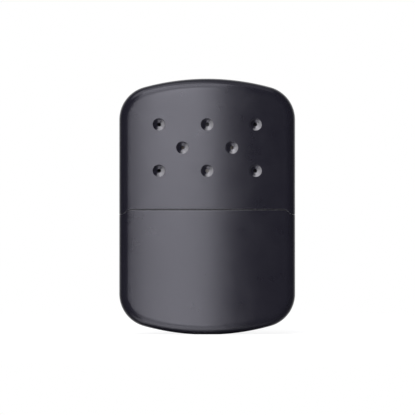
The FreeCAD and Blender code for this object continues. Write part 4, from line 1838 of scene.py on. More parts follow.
# ---- sub-assemblies ------------------------------------------------------------------
@dataclass
class Shells:
    """The painted cover with its vents, and the painted tank cup."""

    maker: Maker
    paint: Material
    form: Pebble = Pebble()
    sheet: float = 0.5
    rim_round: float = 0.2
    rim_wear: float = 0.35
    vent_radius: float = 2.35
    vent_edge: float = 0.25
    vent_dish: float = 1.15
    vent_opening: float = 0.55
    vent_column: float = 18.7
    vent_middle: float = 9.55
    vent_rise: float = 15.0
    vent_pitch: float = 8.95
    vent_segments: int = 48
    vent_apron: float = 0.6
    # painted highlight in the vents: the side (lower right) toward which bare metal grows, its share at the
    # middle and its rise across the dish
    highlight_side: float = math.radians(-28.0)
    highlight_middle: float = 0.22
    highlight_gain: float = 0.5

    @property
    def apron(self) -> float:
        """Radius of the face's opening that a vent fills."""
        return self.vent_radius + self.vent_apron

    @property
    def vent_low(self) -> float:
        """Height of the lowest row of vents."""
        return self.form.seam_z + self.vent_rise

    def along(self, x: float) -> float:
        """Return arc length along the face at x."""
        return self.form.face_radius * math.asin(x / self.form.face_radius)

    def vent_places(self) -> list[tuple[float, float]]:
        """Return arc length and height of each vent.

        Returns:
            The places.
        """
        low, outer, middle = self.vent_low, self.along(self.vent_column), self.along(self.vent_middle)
        rows = [(x, low + row * self.vent_pitch) for row in (0, 2) for x in (-outer, 0.0, outer)]
        return rows + [(x, low + self.vent_pitch) for x in (-middle, middle)]

    def vent(self) -> Thing:
        """Turn one vent: face apron, broken edge, dish, rounded mouth, and back to the inner skin.

        Returns:
            The vent, for use as a copy.
        """
        edge, sheet = self.vent_edge, self.sheet
        ball = (self.vent_radius ** 2 + self.vent_dish ** 2) / (2 * self.vent_dish)
        rise, core = ball - self.vent_dish, ball + sheet / 2
        rim = math.sqrt((ball + edge) ** 2 - (rise + edge) ** 2)
        steep = math.asin(rim / (ball + edge))
        mouth = math.asin((self.vent_opening + sheet / 2) / core)
        back = math.acos((rise + sheet) / (ball + sheet))
        out, down = core * math.sin(mouth), rise - core * math.cos(mouth)
        steps = [(self.apron, 0.0, 0.0), ((self.apron + rim) / 2, 0.0, 0.0)]
        # the third value is wear: it rises over the broken edge and is full in the dish and mouth; the
        # painted highlight is cut from it
        steps += [(rim - edge * math.sin(a), -edge * (1 - math.cos(a)), a / steep) for a in arc(5, steep)]
        steps += [(ball * math.sin(a), rise - ball * math.cos(a), 1.0) for a in arc(9, mouth, steep)[1:]]
        steps += [(out - sheet / 2 * math.sin(mouth - a), down + sheet / 2 * math.cos(mouth - a), 1.0)
                  for a in arc(6, math.pi)[1:-1]]
        steps += [((ball + sheet) * math.sin(a), rise - (ball + sheet) * math.cos(a), 0.0)
                  for a in arc(7, back, mouth)]
        steps.append((self.apron, -sheet, 0.0))
        vent = turned("vent", steps, self.vent_segments)
        # painted highlight: bare metal shows toward the lit lower right of the dish, and the upper left stays
        # enamel
        self.paint_vent_highlight(vent.data)
        return vent

    def paint_vent_highlight(self, mesh: Mesh) -> None:
        """Paint a highlight into a vent: the enamel gives way to bare metal toward the lower right, the side
        that the lamps light, and stays whole toward the upper left.

        Args:
            mesh: The vent's mesh.
        """
        aim_x, aim_y = math.cos(self.highlight_side), math.sin(self.highlight_side)
        for point, layer in zip(mesh.vertices, mesh.attributes[WEAR].data):
            across = (point.co.x * aim_x + point.co.y * aim_y) / (self.vent_radius * MM)
            layer.value *= min(max(self.highlight_middle + self.highlight_gain * across, 0.0), 1.0)

    def cover_edge(self, x: Array) -> Array:
        """Return the height of the cover's border at x."""
        return self.form.seam_z + self.form.half_gap(x) + self.rim_round - self.form.drop(x)

    def tank_edge(self, x: Array) -> Array:
        """Return the height of the tank's border at x, turned over."""
        return self.form.whole - self.form.seam_z + self.form.half_gap(x) + self.rim_round + self.form.drop(x)

    def cover(self) -> None:
        """Build the cover: upper half shell with eight pressed vents."""
        holes = [circle(x, z, self.apron, self.vent_segments) for x, z in self.vent_places()]
        skin = self.form.half_shell(self.cover_edge, holes)
        solid = skin.solid(self.sheet, self.rim_round, worn=self.rim_wear)
        patterns, rows = self.maker.patterns, place("vent_rows", bpy.data.meshes.new("vent_rows"))
        solid.swallow(patterns.run(
            rows, patterns.vents, Vent=self.vent(), Outer_column=self.along(self.vent_column) * MM,
            Middle_column=self.along(self.vent_middle) * MM, Low_row=self.vent_low * MM,
            Row_pitch=self.vent_pitch * MM, Face_radius=self.form.face_radius * MM,
            Half_depth=self.form.depth / 2 * MM, Finish=self.paint))
        piece = self.maker.piece("painted_cover", solid, self.paint)
        self.maker.hand_over(piece, Body.COVER, Slot.PAINT, "cover_shell")

    def tank(self) -> None:
        """Build the tank cup: lower half shell with the pressed land it stands on."""
        skin = self.form.half_shell(self.tank_edge, [])
        skin.turn_over(self.form.whole)
        solid = skin.solid(self.sheet, self.rim_round, press=0.0, worn=self.rim_wear)
        piece = self.maker.piece("painted_tank", solid, self.paint)
        self.maker.hand_over(piece, Body.TANK, Slot.PAINT, "tank_shell")


@dataclass
class TankTop:
    """The plated parts that close the tank: collar, filler neck, gauze and its ring."""

    maker: Maker
    nickel: Material
    gauze_steel: Material
    spring_steel: Material
    form: Pebble = Pebble()
    sheet: float = 0.4
    low_inset: float = 0.52
    high_inset: float = 0.75
    skirt_bottom: float = 38.0
    joggle_z: float = 45.4
    joggle_half: float = 0.5
    deck_z: float = 58.5
    deck_round: float = 1.3
    deck_spacing: float = 1.5
    rim_round: float = 0.1
    rib_x: float = 21.0
    rib_half: float = 1.2
    rib_stand: float = 0.22
    rib_bottom: float = 50.925
    rib_length: float = 5.4
    rib_end: float = 0.7
    rib_lead: float = 0.3
    rib_dense: float = 1.4
    rib_clear: float = 1.6
    neck: Oval = Oval(13.1, 4.2)
    neck_gap: float = 0.12
    neck_top: float = 65.0
    neck_bottom: float = 55.0
    neck_flange: float = 1.1
    neck_fillet: float = 0.45
    neck_break: float = 0.05
    bead_z: float = 63.2
    bead_stand: float = 0.25
    bead_half: float = 0.45
    gauze_z: float = 60.6
    gauze_sheet: float = 0.3
    gauze_skirt: float = 1.2
    gauze_punch: Punch = Punch(0.55, 1.75, 14)
    wire: float = 0.7
    wire_gap: float = 1.6

    def rib(self, plan: Array, z: float) -> Array:
        """Return how far the grip ribs stand out at plan points, at a height.

        Args:
            plan: Plan points (n, 2).
            z: Their height.

        Returns:
            One distance for each point.
        """
        off = np.abs(np.abs(plan[:, 0]) - self.rib_x) / self.rib_half
        wave = self.rib_stand * np.cos(np.minimum(off, 1) * QUARTER) ** 2
        ends = min(z - self.rib_bottom, self.rib_bottom + self.rib_length - z) / self.rib_end
        return np.where((off < 1) & (np.abs(plan[:, 1]) > 1.0), wave, 0) * ease(min(max(ends, 0.0), 1.0))

    def collar_steps(self) -> list[tuple[float, float, float]]:
        """Return inset, height and lean of each row: skirt, joggle, spigot and roll.

        Returns:
            The rows, from the foot up.
        """
        high, rise, half = self.high_inset, self.high_inset - self.low_inset, self.joggle_half
        foot, low_end = self.skirt_bottom + self.rim_round, self.joggle_z - half
        rib_top = self.rib_bottom + self.rib_length
        steps = [(self.low_inset, z, 0.0) for z in np.linspace(foot, low_end, 4)]
        for share in np.linspace(0, 1, 7)[1:-1]:
            lean = math.atan(rise * 6 * share * (1 - share))
            steps.append((self.low_inset + rise * ease(share), low_end + share, lean))
        high_start, high_end = self.joggle_z + half, self.rib_bottom - self.rib_lead
        steps += [(high, z, 0.0) for z in np.linspace(high_start, high_end, 8)]
        steps += [(high, z, 0.0) for z in np.linspace(self.rib_bottom, rib_top, 25)]
        bend = self.deck_round
        return steps + [(high + bend * (1 - math.cos(a)), self.deck_z - bend + bend * math.sin(a), a)
                        for a in arc(8)]

    def collar(self) -> None:
        """Build the drawn collar: skirt, joggle, ribbed spigot and rolled deck."""
        even, dense = np.linspace(-30, 30, 61), np.linspace(-self.rib_dense, self.rib_dense, 15)
        far = even[np.abs(np.abs(even) - self.rib_x) > self.rib_clear]
        runs = np.sort(np.concatenate([far, dense - self.rib_x, dense + self.rib_x]))
        rows, normals = [], []
        for inset, z, lean in self.collar_steps():
            plan, out = self.form.girth(inset, runs)
            rows.append(at_height(plan + out * self.rib(plan, z)[:, None], z))
            normals.append(at_height(out * math.cos(lean), math.sin(lean)))
        skin = Skin()
        skin.lattice(np.stack(rows), np.stack(normals), wrap=True)
        skin.border(rows[0], normals[0], -UP)
        hole = self.neck.inset(-self.neck_gap)
        line, out = hole.at(hole.runs(16, 22))
        skin.plate(self.deck_z, self.deck_spacing, rows[-1][:, :2], frames=[(line, -out)])
        piece = self.maker.piece("plated_collar", skin.solid(self.sheet, self.rim_round), self.nickel)
        self.maker.hand_over(piece, Body.TANK, Slot.NICKEL, "tank_collar")

    def filler_neck(self) -> None:
        """Sweep the neck: tube with pressed bead, rounded mouth and soldered flange."""
        t, deck, low, off = self.sheet, self.deck_z, self.neck_bottom, self.neck_break
        flange, fillet = self.neck_flange, self.neck_fillet
        foot = [(0.0, low + off), (0.0, deck), (flange - 0.1, deck), (flange, deck + 0.08),
                (flange - 0.02, deck + t * 0.7), (flange - 0.18, deck + t)]
        foot += [(fillet - fillet * math.sin(a), deck + t + fillet - fillet * math.cos(a)) for a in arc(5)]
        bead = [(self.bead_stand * (0.5 + 0.5 * math.cos(a)), self.bead_z + self.bead_half * a / math.pi)
                for a in arc(14, math.pi, -math.pi)]
        mouth = [(-t / 2 + t / 2 * math.cos(a), self.neck_top - t / 2 + t / 2 * math.sin(a))
                 for a in arc(8, math.pi)]
        bore = [(offset - t, z) for offset, z in reversed(bead)]
        bore += [(-t, deck), (-t, low + off), (-t + off, low), (-off, low)]
        plan, _ = self.neck.at(self.neck.runs(20, 30))
        piece = self.maker.swept("filler_neck_tube", plan, foot + bead + mouth + bore, self.nickel)
        self.maker.hand_over(piece, Body.TANK, Slot.NICKEL, "filler_neck")

    def gauze(self) -> None:
        """Punch the gauze cup that closes the neck."""
        cup = Cup(self.maker.patterns, self.neck.inset(self.sheet), self.gauze_z - self.gauze_skirt,
                  self.gauze_z + self.gauze_sheet, self.gauze_sheet, self.gauze_sheet * 1.5, 0.05, end=22)
        solid = cup.punched(self.gauze_punch, self.gauze_steel, walls=False)
        piece = self.maker.piece("neck_gauze_sheet", solid, self.gauze_steel)
        self.maker.hand_over(piece, Body.TANK, Slot.GAUZE, "neck_gauze")

    def ring(self) -> None:
        """Bend the sprung wire ring, open at the front."""
        radius, start = self.wire / 2, self.wire_gap / 2
        path = self.neck.inset(self.sheet + radius)
        runs, stop = path.runs(14, 26), path.length - start
        plan, _ = path.at(np.concatenate([[start], runs[(runs > start) & (runs < stop)], [stop]]))
        section = circle(0.0, self.gauze_z + self.gauze_sheet + radius, radius, 14)
        piece = self.maker.swept("gauze_ring_wire", plan, section, self.spring_steel, closed=False)
        self.maker.hand_over(piece, Body.TANK, Slot.SPRING, "gauze_ring")


@dataclass
class FuelAbsorber:
    """The soft filling: felt wick in the neck and folded cotton in the tank."""

    maker: Maker
    felt: Material
    cotton: Material
    form: Pebble = Pebble()
    wick: Oval = Oval(12.2, 3.3)
    wick_bottom: float = 46.1
    wick_top: float = 60.4
    wick_round: float = 0.9
    wick_rough: tuple[float, float, float] = (0.16, 1.3, 3.0)
    wick_nap: Nap = Nap(2.2, 1.3, 0.05, 0.25, seed=11)
    inset: float = 1.40
    batting_top: float = 56.5
    crown: float = 1.3
    hollow: float = 0.8
    crown_reach: float = 1.5
    fold_pitch: float = 4.8
    fold_slit: float = 0.55
    fold_bridge: float = 1.6
    cotton_rough: tuple[float, float, float] = (0.14, 0.55, 9.0)
    cotton_nap: Nap = Nap(0.16, 3.2, 0.05, 0.3, seed=23)
    pocket: Oval = Oval(13.3, 4.4)
    pocket_slope: float = 0.5
    wick_room: float = 0.15

    def felt_wick(self) -> None:
        """Build the felt pad, pressed firm, with soft edges."""
        low, high, soft = self.wick_bottom, self.wick_top, self.wick_round
        steps = [(soft * (1 - math.cos(a)), low + soft * (1 - math.sin(a))) for a in arc(5, 0.0, QUARTER)]
        steps += [(0.0, z) for z in np.linspace(low + soft, high - soft, 24)[1:-1]]
        steps += [(soft * (1 - math.cos(a)), high - soft * (1 - math.sin(a))) for a in arc(5)]
        rows = []
        for inset, z in steps:
            path = self.wick.inset(inset)
            rows.append(at_height(path.at(path.runs(16, 18))[0], z))
        solid = Solid()
        solid.add(np.stack(rows), lattice_faces(len(rows), len(rows[0])))
        for row in (rows[0], rows[-1]):
            flat, faces = fill([row[:, :2]], 0.6)
            solid.add(at_height(flat, row[0, 2]), faces)
        piece = self.maker.soft("felt_wick_pad", solid, self.felt, self.wick_rough, self.wick_nap)
        self.maker.hand_over(piece, Body.TANK, Slot.FELT, "felt_wick")

    def plan_line(self) -> Array:
        """Return the folded strip's outline in plan, with its alternate slits.

        Returns:
            The outline (n, 2).
        """
        plan, _ = self.form.girth(self.inset, np.linspace(-30, 30, 121))
        count = 1 + 2 * int((self.form.half - self.form.roll) / self.fold_pitch)
        slits = [(index % 2 == 1, (index - (count - 1) / 2) * self.fold_pitch) for index in range(count)]
        line: list[Array] = []
        for here, after in zip(plan, np.roll(plan, -1, 0)):
            line.append(here)
            ahead = self.fold_slit / 2 * (1.0 if after[0] > here[0] else -1.0)
            for opens_front, x in slits:
                if opens_front != (here[1] < 0) or (here[0] - x) * (after[0] - x) > 0 or here[0] == x:
                    continue
                mouth, deep = here[1], -np.sign(here[1]) * (abs(here[1]) - self.fold_bridge)
                line += [np.array([x - ahead, y]) for y in np.linspace(mouth, deep, 16)]
                line += [np.array([x + ahead, y]) for y in np.linspace(deep, mouth, 16)]
        dense = np.array(line)
        for _ in range(3):
            dense = (np.roll(dense, 1, 0) + 2 * dense + np.roll(dense, -1, 0)) / 4
        return dense[np.linalg.norm(dense - np.roll(dense, 1, 0), axis=1) > 0.08]

    def batting(self) -> None:
        """Build the folded cotton strip: crowned folds side by side, with a pocket for the wick."""
        line, runs = self.plan_line(), np.arange(0, self.pocket.length, 0.7)
        rings = [self.pocket.inset(-apart).at(runs)[0] for apart in (0.0, 0.55)]
        flat, faces = fill([line], 0.75, np.concatenate(rings))
        depth = np.clip(1 - gap_to(flat, line) / self.crown_reach, 0, 1)
        fall = 1 - np.sqrt(1 - depth ** 2 * 0.98)
        crown = self.batting_top - self.crown * fall
        past = np.maximum(np.abs(flat[:, 0]) - self.pocket.flat, 0)
        beyond = np.hypot(past, flat[:, 1]) - self.pocket.half_y
        sunk = ease(np.clip(1 - beyond / self.pocket_slope, 0, 1))
        top = crown + (self.wick_bottom - self.wick_room - crown) * sunk
        under = self.form.bottom(flat, self.inset) + self.hollow * fall
        solid = Solid()
        for height in (top, under):
            solid.add(at_height(flat, height), faces)
        count = len(line)
        rows = [at_height(line, (under + (top - under) * share)[:count]) for share in np.linspace(0, 1, 30)]
        solid.add(np.stack(rows), lattice_faces(len(rows), count))
        piece = self.maker.soft("cotton_folds", solid, self.cotton, self.cotton_rough, self.cotton_nap)
        self.maker.hand_over(piece, Body.TANK, Slot.COTTON, "cotton_batting")


@dataclass
class Burner:
    """The pull-off catalyst burner."""

    maker: Maker
    heated: Material
    mesh_steel: Material
    glass: Material
    spring_steel: Material
    skirt: Oval = Oval(14.2, 5.3)
    sheet: float = 0.4
    rounding: float = 0.09
    bottom: float = 59.2
    skirt_top: float = 66.4
    joggle: float = 0.25
    cage_inset: float = 0.6
    cage_bottom: float = 67.2
    top: float = 79.6
    roll: float = 1.6
    spacing: float = 0.75
    window: Window = Window(0.0, 73.4, 4.4, 6.4, 1.0)
    window_pitch: float = 5.9
    window_margin: float = 0.7
    slot: Window = Window(0.0, 0.0, 2.0, 4.6, 0.95)
    slot_pitch: float = 4.7
    frame_height: float = 1.6
    frame_flange: float = 2.3
    layer_gap: float = 0.02
    guard_sheet: float = 0.25
    guard_punch: Punch = Punch(0.5, 1.45)
    mat_thickness: float = 1.35
    mat_gap: float = 0.04
    mat_round: float = 0.4
    mat_rough: tuple[float, float, float] = (0.09, 2.2, 5.0)
    mat_nap: Nap = Nap(3.0, 1.1, 0.03, 0.04, seed=31)
    support_sheet: float = 0.3
    support_punch: Punch = Punch(0.7, 2.1)
    clip_sheet: float = 0.25
    clip_length: float = 11.0
    clip_bow: float = 4.5
    clip_toe: float = 0.12
    clip_edge: float = 0.06
    clip_hold: float = 1.5
    clip_over: float = 1.25
    rivet_x: float = 3.6
    rivet_z: float = 65.2
    rivet_head: float = 0.8
    rivet_shank: float = 0.45

    @property
    def cage(self) -> Oval:
        """Path of the slimmer upper part."""
        return self.skirt.inset(self.cage_inset)

    def windows(self) -> list[Window]:
        """Return the side and end windows; X is counted on the face that a window pierces."""
        places = [(i - 1.5) * self.window_pitch for i in range(4)]
        return [replace(self.window, x=x) for x in (*places, *places, 0.0, 0.0)]

    def to_run(self, x: Array, index: int) -> Array:
        """Unroll X on the pierced face to a run round the cage.

        Args:
            x: Places across the window's face.
            index: Number of the window.

        Returns:
            Runs round the cage.
        """
        path = self.cage
        half = path.length / 2
        if index < 4:
            run = path.across(x)
            return np.where(self.windows()[index].x < 0, path.length + run, run)
        if index < 8:
            return half - path.across(x)
        middle = half / 2 if index == 8 else 3 * half / 2
        return middle + path.half_y * np.arcsin(np.clip(x / path.half_y, -1, 1))

    def hull(self, path: Oval) -> Cup:
        """Return the housing's cup on a path."""
        return Cup(self.maker.patterns, path, self.bottom, self.top, self.sheet, self.roll, self.rounding,
                   spacing=self.spacing)

    def housing(self) -> None:
        """Build the drawn housing: skirt, joggle, windowed cage and slotted top."""
        cup, skin = self.hull(self.skirt), Skin()
        window, margin = self.window, self.window_margin
        low, high = (window.z + way * window.height / 2 + way * margin for way in (-1, 1))
        start, span = self.skirt_top - self.joggle, self.cage_bottom - self.skirt_top + 2 * self.joggle
        steps = [(0.0, z, 0.0) for z in np.linspace(self.bottom + self.rounding, start, 6)]
        for share in np.linspace(0, 1, 10)[1:-1]:
            lean = math.atan(self.cage_inset / span * 6 * share * (1 - share))
            steps.append((self.cage_inset * ease(share), start + share * span, lean))
        cup.rows(skin, steps + [(self.cage_inset, z, 0.0) for z in np.linspace(start + span, low, 4)])
        cup.foot(skin)
        cup.windowed_wall(skin, self.cage_inset, low, high, self.windows(), self.to_run)
        upper = self.hull(self.cage)
        upper.rows(skin, [(0.0, high, 0.0), *upper.rolled(9)])
        upper.plate(skin, windows=[replace(self.slot, x=(i - 2) * self.slot_pitch) for i in range(5)])
        piece = self.maker.piece("burner_cap", skin.solid(self.sheet, self.rounding), self.heated)
        self.maker.hand_over(piece, Body.BURNER, Slot.STAINLESS, "burner_housing")

    def layer(self, inset: float, sheet: float, rounding: float, **finer: float) -> Cup:
        """Return one cup of the catalyst pack, nested in the cage."""
        return Cup(self.maker.patterns, self.cage.inset(inset), self.cage_bottom + self.frame_height,
                   self.top - inset, sheet, max(self.roll - inset, sheet), rounding, **finer)

    def catalyst(self) -> None:
        """Build guard mesh, glass mat and support mesh, one inside the other."""
        inset, steel = self.sheet + self.layer_gap, self.mesh_steel
        guard = self.layer(inset, self.guard_sheet, 0.05).punched(self.guard_punch, steel)
        inset += self.guard_sheet + self.layer_gap
        self.maker.hand_over(self.maker.piece("guard_mesh", guard, steel),
                             Body.BURNER, Slot.GAUZE, "catalyst_guard_mesh")
        self.mat(inset + self.mat_gap)
        inset += self.mat_thickness + self.layer_gap
        support = self.layer(inset, self.support_sheet, 0.06).punched(self.support_punch, steel)
        self.maker.hand_over(self.maker.piece("support_mesh", support, steel),
                             Body.BURNER, Slot.GAUZE, "catalyst_support_mesh")

    def mat(self, inset: float) -> None:
        """Build the platinised glass-fibre mat, a thick soft cup.

        Args:
            inset: How far inside the cage it lies.
        """
        cup = self.layer(inset, self.mat_thickness - 2 * self.mat_gap, self.mat_round,
                         straight=30, end=44, spacing=0.5)
        skin = Skin()
        cup.wall(skin, cup.bottom + cup.rounding, cup.shoulder, 26)
        cup.rows(skin, cup.rolled(8))
        cup.plate(skin)
        cup.foot(skin)
        solid = skin.solid(cup.sheet, cup.rounding, steps=5)
        piece = self.maker.soft("catalyst_fibre_mat", solid, self.glass, self.mat_rough, self.mat_nap)
        self.maker.hand_over(piece, Body.BURNER, Slot.GLASS, "catalyst_mat")

    def mesh_frame(self) -> None:
        """Sweep the angle-section frame that holds the pack up."""
        path = self.cage.inset(self.sheet + self.layer_gap)
        low = self.cage_bottom + self.layer_gap
        high = self.cage_bottom + self.frame_height - self.layer_gap
        t, flange, off, near = self.sheet, self.frame_flange, 0.1, 0.03
        section = [(0.0, low + off), (0.0, high - off), (-near, high - near), (-off, high),
                   (off - flange, high), (near - flange, high - near), (-flange, high - off),
                   (-flange, high - t + off), (near - flange, high - t + near), (off - flange, high - t),
                   (-t - off, high - t), (-t, high - t - off), (-t, low + off), (off - t, low), (-off, low)]
        piece = self.maker.swept("pack_frame", path.at(path.runs(14, 26))[0], section, self.heated)
        self.maker.hand_over(piece, Body.BURNER, Slot.STAINLESS, "mesh_frame")

    @staticmethod
    def around(grid: Array) -> list[Array]:
        """Return the four sides of a lattice, in order round it."""
        return [grid[-1], grid[::-1, -1][1:], grid[0, ::-1][1:], grid[:, 0][1:-1]]

    def clip(self, side: Side) -> None:
        """Bend one leaf spring: held at the top, bowed under the neck bead.

        Args:
            side: Which side of the burner.
        """
        wall, toe, sign = self.skirt.half_y - self.sheet, self.clip_toe, side.value
        foot, share = self.bottom + self.rivet_head, np.linspace(0, 1, 15)
        hold = self.rivet_z - self.clip_hold * self.rivet_head
        top = self.rivet_z + self.clip_over * self.rivet_head
        bow = (wall - toe / 2 - self.clip_bow - self.clip_sheet) * 4 * share * (1 - share)
        y = np.concatenate([wall - toe + toe * share - bow, np.full(5, wall)])
        z = np.concatenate([foot + (hold - foot) * share, np.linspace(hold, top, 6)[1:]])
        tangent = np.gradient(np.stack([y, z], 1), axis=0)
        tangent /= np.linalg.norm(tangent, axis=1)[:, None]
        z[0] += self.clip_edge
        z[-1] -= self.clip_edge
        reach = self.clip_length / 2 - self.clip_edge
        across = np.linspace(-reach, reach, 23)
        points = np.stack([np.column_stack([np.full(len(y), x), sign * y, z]) for x in across])
        out = np.column_stack([0 * y, sign * tangent[:, 1], -tangent[:, 0]])
        along = np.column_stack([0 * y, sign * tangent[:, 0], tangent[:, 1]])
        normals = np.broadcast_to(out, points.shape)
        skin, right, line = Skin(), np.array([1.0, 0.0, 0.0]), self.around(points)
        outward = (right, along[-1], -right, -along[0])
        ways = [np.broadcast_to(way, part.shape) for way, part in zip(outward, line)]
        skin.lattice(points, normals)
        skin.border(np.concatenate(line), np.concatenate(self.around(normals)), np.concatenate(ways))
        which = side.name.lower()
        piece = self.maker.piece(f"leaf_{which}", skin.solid(self.clip_sheet, 0.05), self.spring_steel)
        self.maker.hand_over(piece, Body.BURNER, Slot.SPRING, f"burner_clip_{which}")

    def rivet(self) -> Thing:
        """Turn one rivet: domed outside, flattened inside, its poles closed.

        Returns:
            The rivet, for use as a copy.
        """
        head, grip = self.rivet_head, self.sheet + self.clip_sheet
        tail = [(0.05, -grip - 0.14, 0.2), (head * 0.62, -grip - 0.13, 0.4), (head * 0.72, -grip - 0.08, 0.6),
                (head * 0.72, -grip, 0.2), (self.rivet_shank, -grip, 0.0), (self.rivet_shank, 0.0, 0.0),
                (head, 0.0, 0.0)]
        dome = [(head * math.cos(a), 0.03 + 0.23 * math.sin(a), 0.4) for a in arc(6, QUARTER * 0.94)]
        unit = turned("rivet", tail + dome, 24)
        work = bmesh.new()
        work.from_mesh(unit.data)
        bmesh.ops.holes_fill(work, edges=[edge for edge in work.edges if edge.is_boundary])
        bmesh.ops.recalc_face_normals(work, faces=work.faces)
        work.to_mesh(unit.data)
        work.free()
        return unit

    def rivets(self) -> None:
        """Set the four clip rivets by geometry nodes."""
        patterns = self.maker.patterns
        sites = [(x, side.value) for x in (-self.rivet_x, self.rivet_x) for side in Side]
        places = np.array([(x, sign * self.skirt.half_y, self.rivet_z) for x, sign in sites])
        thing = spots("clip_rivets", places, np.array([(0.0, sign, 0.0) for _, sign in sites]))
        patterns.run(thing, patterns.copies, Piece=self.rivet(), Size=1.0, Finish=self.spring_steel)
        self.maker.hand_over(self.maker.dress(thing, self.spring_steel, 40.0),
                             Body.BURNER, Slot.SPRING, "burner_rivets")

    def build(self) -> None:
        """Build the whole burner."""
        self.housing()
        self.catalyst()
        self.mesh_frame()
        for side in Side:
            self.clip(side)
        self.rivets()


# ---- studio --------------------------------------------------------------------------
@dataclass(frozen=True)
class Lamp:
    """One soft lamp, aimed at the object, in metres."""

    name: str
    azimuth: float
    elevation: float
    distance: float
    width: float
    height: float
    radiance: float
    tint: tuple[float, float, float] = (0.96, 0.955, 1.0)

    def build(self, aim: Vector) -> None:
        """Place the lamp; azimuth is from the camera's side, positive to the right.

        Args:
            aim: The point that the lamp looks at.
        """
        data = bpy.data.lights.new(self.name, "AREA")
        data.shape = "RECTANGLE"
        data.size, data.size_y = self.width, self.height
        data.energy = self.radiance * math.pi * self.width * self.height
        data.color = self.tint
        thing = place(self.name, data)
        az, el = math.radians(self.azimuth), math.radians(self.elevation)
        arm = Vector((math.sin(az) * math.cos(el), -math.cos(az) * math.cos(el), math.sin(el)))
        thing.location = aim + arm * self.distance
        thing.rotation_euler = arm.to_track_quat("Z", "Y").to_euler()
        thing.visible_camera = False


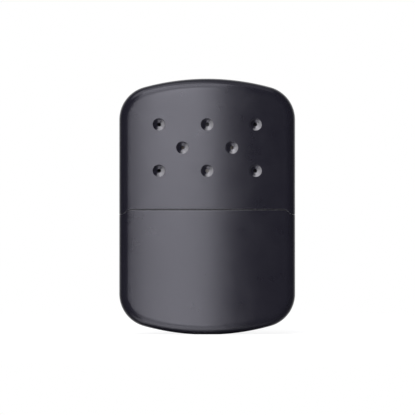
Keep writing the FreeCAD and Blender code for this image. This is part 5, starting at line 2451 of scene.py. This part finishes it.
@dataclass
class Studio:
    """Camera, lamps, pale floor and white surround."""

    frame_width: float = 161.05
    sensor: float = 36.0
    camera_distance: float = 1500.0
    camera_x: float = 0.12
    camera_z: float = 49.11
    aim: Vector = field(default_factory=lambda: Vector((0, 0, 0.05)))
    lamps: tuple[Lamp, ...] = (
        Lamp("key_softbox", -7.8, 9.0, 2.2, 0.80, 0.72, 5.8),
        Lamp("key_upper", -12.5, 31.0, 2.2, 1.36, 0.98, 2.8),
        Lamp("key_crown", -14.5, 54.0, 2.2, 1.30, 1.0, 3.15),
        Lamp("top_softbox", -60.0, 75.0, 2.0, 1.2, 0.8, 0.9),
        Lamp("corner_softbox", -60.0, 52.0, 1.8, 1.0, 0.8, 1.7),
        Lamp("ceiling", 0.0, 84.0, 2.5, 2.6, 1.6, 0.4),
    )
    floor_reach: float = 40000.0
    floor_plain: Colour = (0.7, 0.7, 0.7, 1.0)
    floor_gloss: Colour = (0.85, 0.85, 0.85, 1.0)
    floor_catch: Colour = (0.35, 0.35, 0.35, 1.0)
    floor_roughness: float = 0.2
    shadow_near: float = 0.06
    shadow_far: float = 0.30
    shadow_depth: float = 0.16
    room_gloss: Colour = (0.05, 0.05, 0.055, 1.0)
    room_fill: Colour = (0.22, 0.22, 0.225, 1.0)
    wall_start: float = 0.2
    wall_full: float = 0.95

    def build(self) -> None:
        """Make the whole studio."""
        self.camera()
        for lamp in self.lamps:
            lamp.build(self.aim)
        self.floor()
        self.surround()
        bpy.context.scene.view_settings.view_transform = "Standard"

    def camera(self) -> None:
        """Set the level long-lens camera."""
        data = bpy.data.cameras.new("camera")
        data.sensor_width = self.sensor
        data.lens = self.sensor * self.camera_distance / self.frame_width
        data.clip_end = 50.0
        thing = place("camera", data)
        thing.location = Vector((self.camera_x, -self.camera_distance, self.camera_z)) * MM
        thing.rotation_euler = (QUARTER, 0.0, 0.0)
        bpy.context.scene.camera = thing

    @staticmethod
    def blank(holder: Any) -> Bench:
        """Return the emptied node tree of a material or world.

        Args:
            holder: The material or world.

        Returns:
            Its tree.
        """
        holder.use_nodes = True
        holder.node_tree.nodes.clear()
        return Bench(holder.node_tree)

    @staticmethod
    def rays(bench: Bench) -> tuple[Socket, Socket]:
        """Tell whether a ray is the camera's own, and whether it is a gloss.

        Args:
            bench: The world's node tree.

        Returns:
            Both answers, 0 or 1.
        """
        path = bench.add("ShaderNodeLightPath").outputs
        seen = bench.math("MAXIMUM", path["Is Camera Ray"], path["Is Transmission Ray"])
        return seen, path["Is Glossy Ray"]

    def floor(self) -> None:
        """Lay the pale floor, which keeps the object's shadow and mirrors the lamps in gloss."""
        corners = np.array([(-1, -1, 0), (1, -1, 0), (1, 1, 0), (-1, 1, 0)]) * self.floor_reach
        thing = place("floor", bare_mesh("floor", corners, (), [(0, 1, 2, 3)]))
        material = bpy.data.materials.new("pale_floor")
        bench = self.blank(material)
        away = bench.add("ShaderNodeVectorMath", {0: bench.place()}, operation="LENGTH").outputs["Value"]
        near = bench.span(away, self.shadow_near, self.shadow_far, 1.0, 0.0)
        glow = bench.math("MULTIPLY_ADD", near, -self.shadow_depth, 1.0)
        catch = bench.mix(near, (0.0, 0.0, 0.0, 1.0), self.floor_catch)
        lit = bench.add("ShaderNodeEmission", {"Color": WHITE, "Strength": glow}).outputs[0]
        faint = bench.add("ShaderNodeBsdfDiffuse", {"Color": catch}).outputs[0]
        white = bench.add("ShaderNodeAddShader", {0: faint, 1: lit}).outputs[0]
        plain = bench.add("ShaderNodeBsdfDiffuse", {"Color": self.floor_plain}).outputs[0]
        plugs = {"Color": self.floor_gloss, "Roughness": self.floor_roughness}
        mirror = bench.add("ShaderNodeBsdfGlossy", plugs).outputs[0]
        seen, gloss = self.rays(bench)
        indirect = bench.add("ShaderNodeMixShader", {0: gloss, 1: plain, 2: mirror}).outputs[0]
        both = bench.add("ShaderNodeMixShader", {0: seen, 1: indirect, 2: white}).outputs[0]
        bench.add("ShaderNodeOutputMaterial", {"Surface": both})
        thing.data.materials.append(material)

    def surround(self) -> None:
        """Set the surround: white to the camera, a dark room with a pale back wall in gloss."""
        world = bpy.data.worlds.new("surround")
        bench = self.blank(world)
        way = bench.split(bench.add("ShaderNodeTexCoord").outputs["Generated"])
        seen, gloss = self.rays(bench)
        wall = bench.mix(bench.span(way["Y"], self.wall_start, self.wall_full), self.room_gloss, WHITE)
        colour = bench.mix(seen, bench.mix(gloss, self.room_fill, wall), WHITE)
        back = bench.add("ShaderNodeBackground", {"Color": colour, "Strength": 1.0}).outputs[0]
        bench.add("ShaderNodeOutputWorld", {"Surface": back})
        bpy.context.scene.world = world


def main() -> None:
    """Load the frame, and build every sub-assembly and the studio."""
    logging.basicConfig(level=logging.INFO, format="%(message)s")
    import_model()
    Studio().build()
    effects = Effects()
    maker = Maker(Patterns())
    shells = Shells(maker, SatinPaint(effects).build())
    shells.cover()
    shells.tank()
    spring = SheetSteel(effects, "spring_steel", roughness=0.28, colour=(0.46, 0.45, 0.44, 1.0),
                        dulled=(0.30, 0.29, 0.28, 1.0)).build()
    top = TankTop(maker, BrightNickel(effects).build(), SheetSteel(effects).build(), spring)
    top.collar()
    top.filler_neck()
    top.gauze()
    top.ring()
    cotton = SoftFibre(effects, "cotton_wadding", grain_scale=700.0, colour=(0.82, 0.80, 0.75, 1.0),
                       shadow=(0.62, 0.60, 0.55, 1.0), fleck=(0.9, 0.89, 0.86, 1.0)).build()
    absorber = FuelAbsorber(maker, SoftFibre(effects).build(), cotton)
    absorber.felt_wick()
    absorber.batting()
    glass = SoftFibre(effects, "platinised_glass_fibre", roughness=0.7, sheen=0.0, grain_scale=2600.0,
                      grain_depth=0.00004, colour=(0.20, 0.19, 0.18, 1.0), shadow=(0.09, 0.085, 0.08, 1.0),
                      fleck=(0.55, 0.54, 0.52, 1.0)).build()
    hot_mesh = SheetSteel(effects, "heated_mesh", roughness=0.5, colour=(0.20, 0.18, 0.165, 1.0),
                          dulled=(0.10, 0.085, 0.08, 1.0)).build()
    Burner(maker, HeatedSteel(effects).build(), hot_mesh, glass, spring).build()


if __name__ == "__main__":
    main()
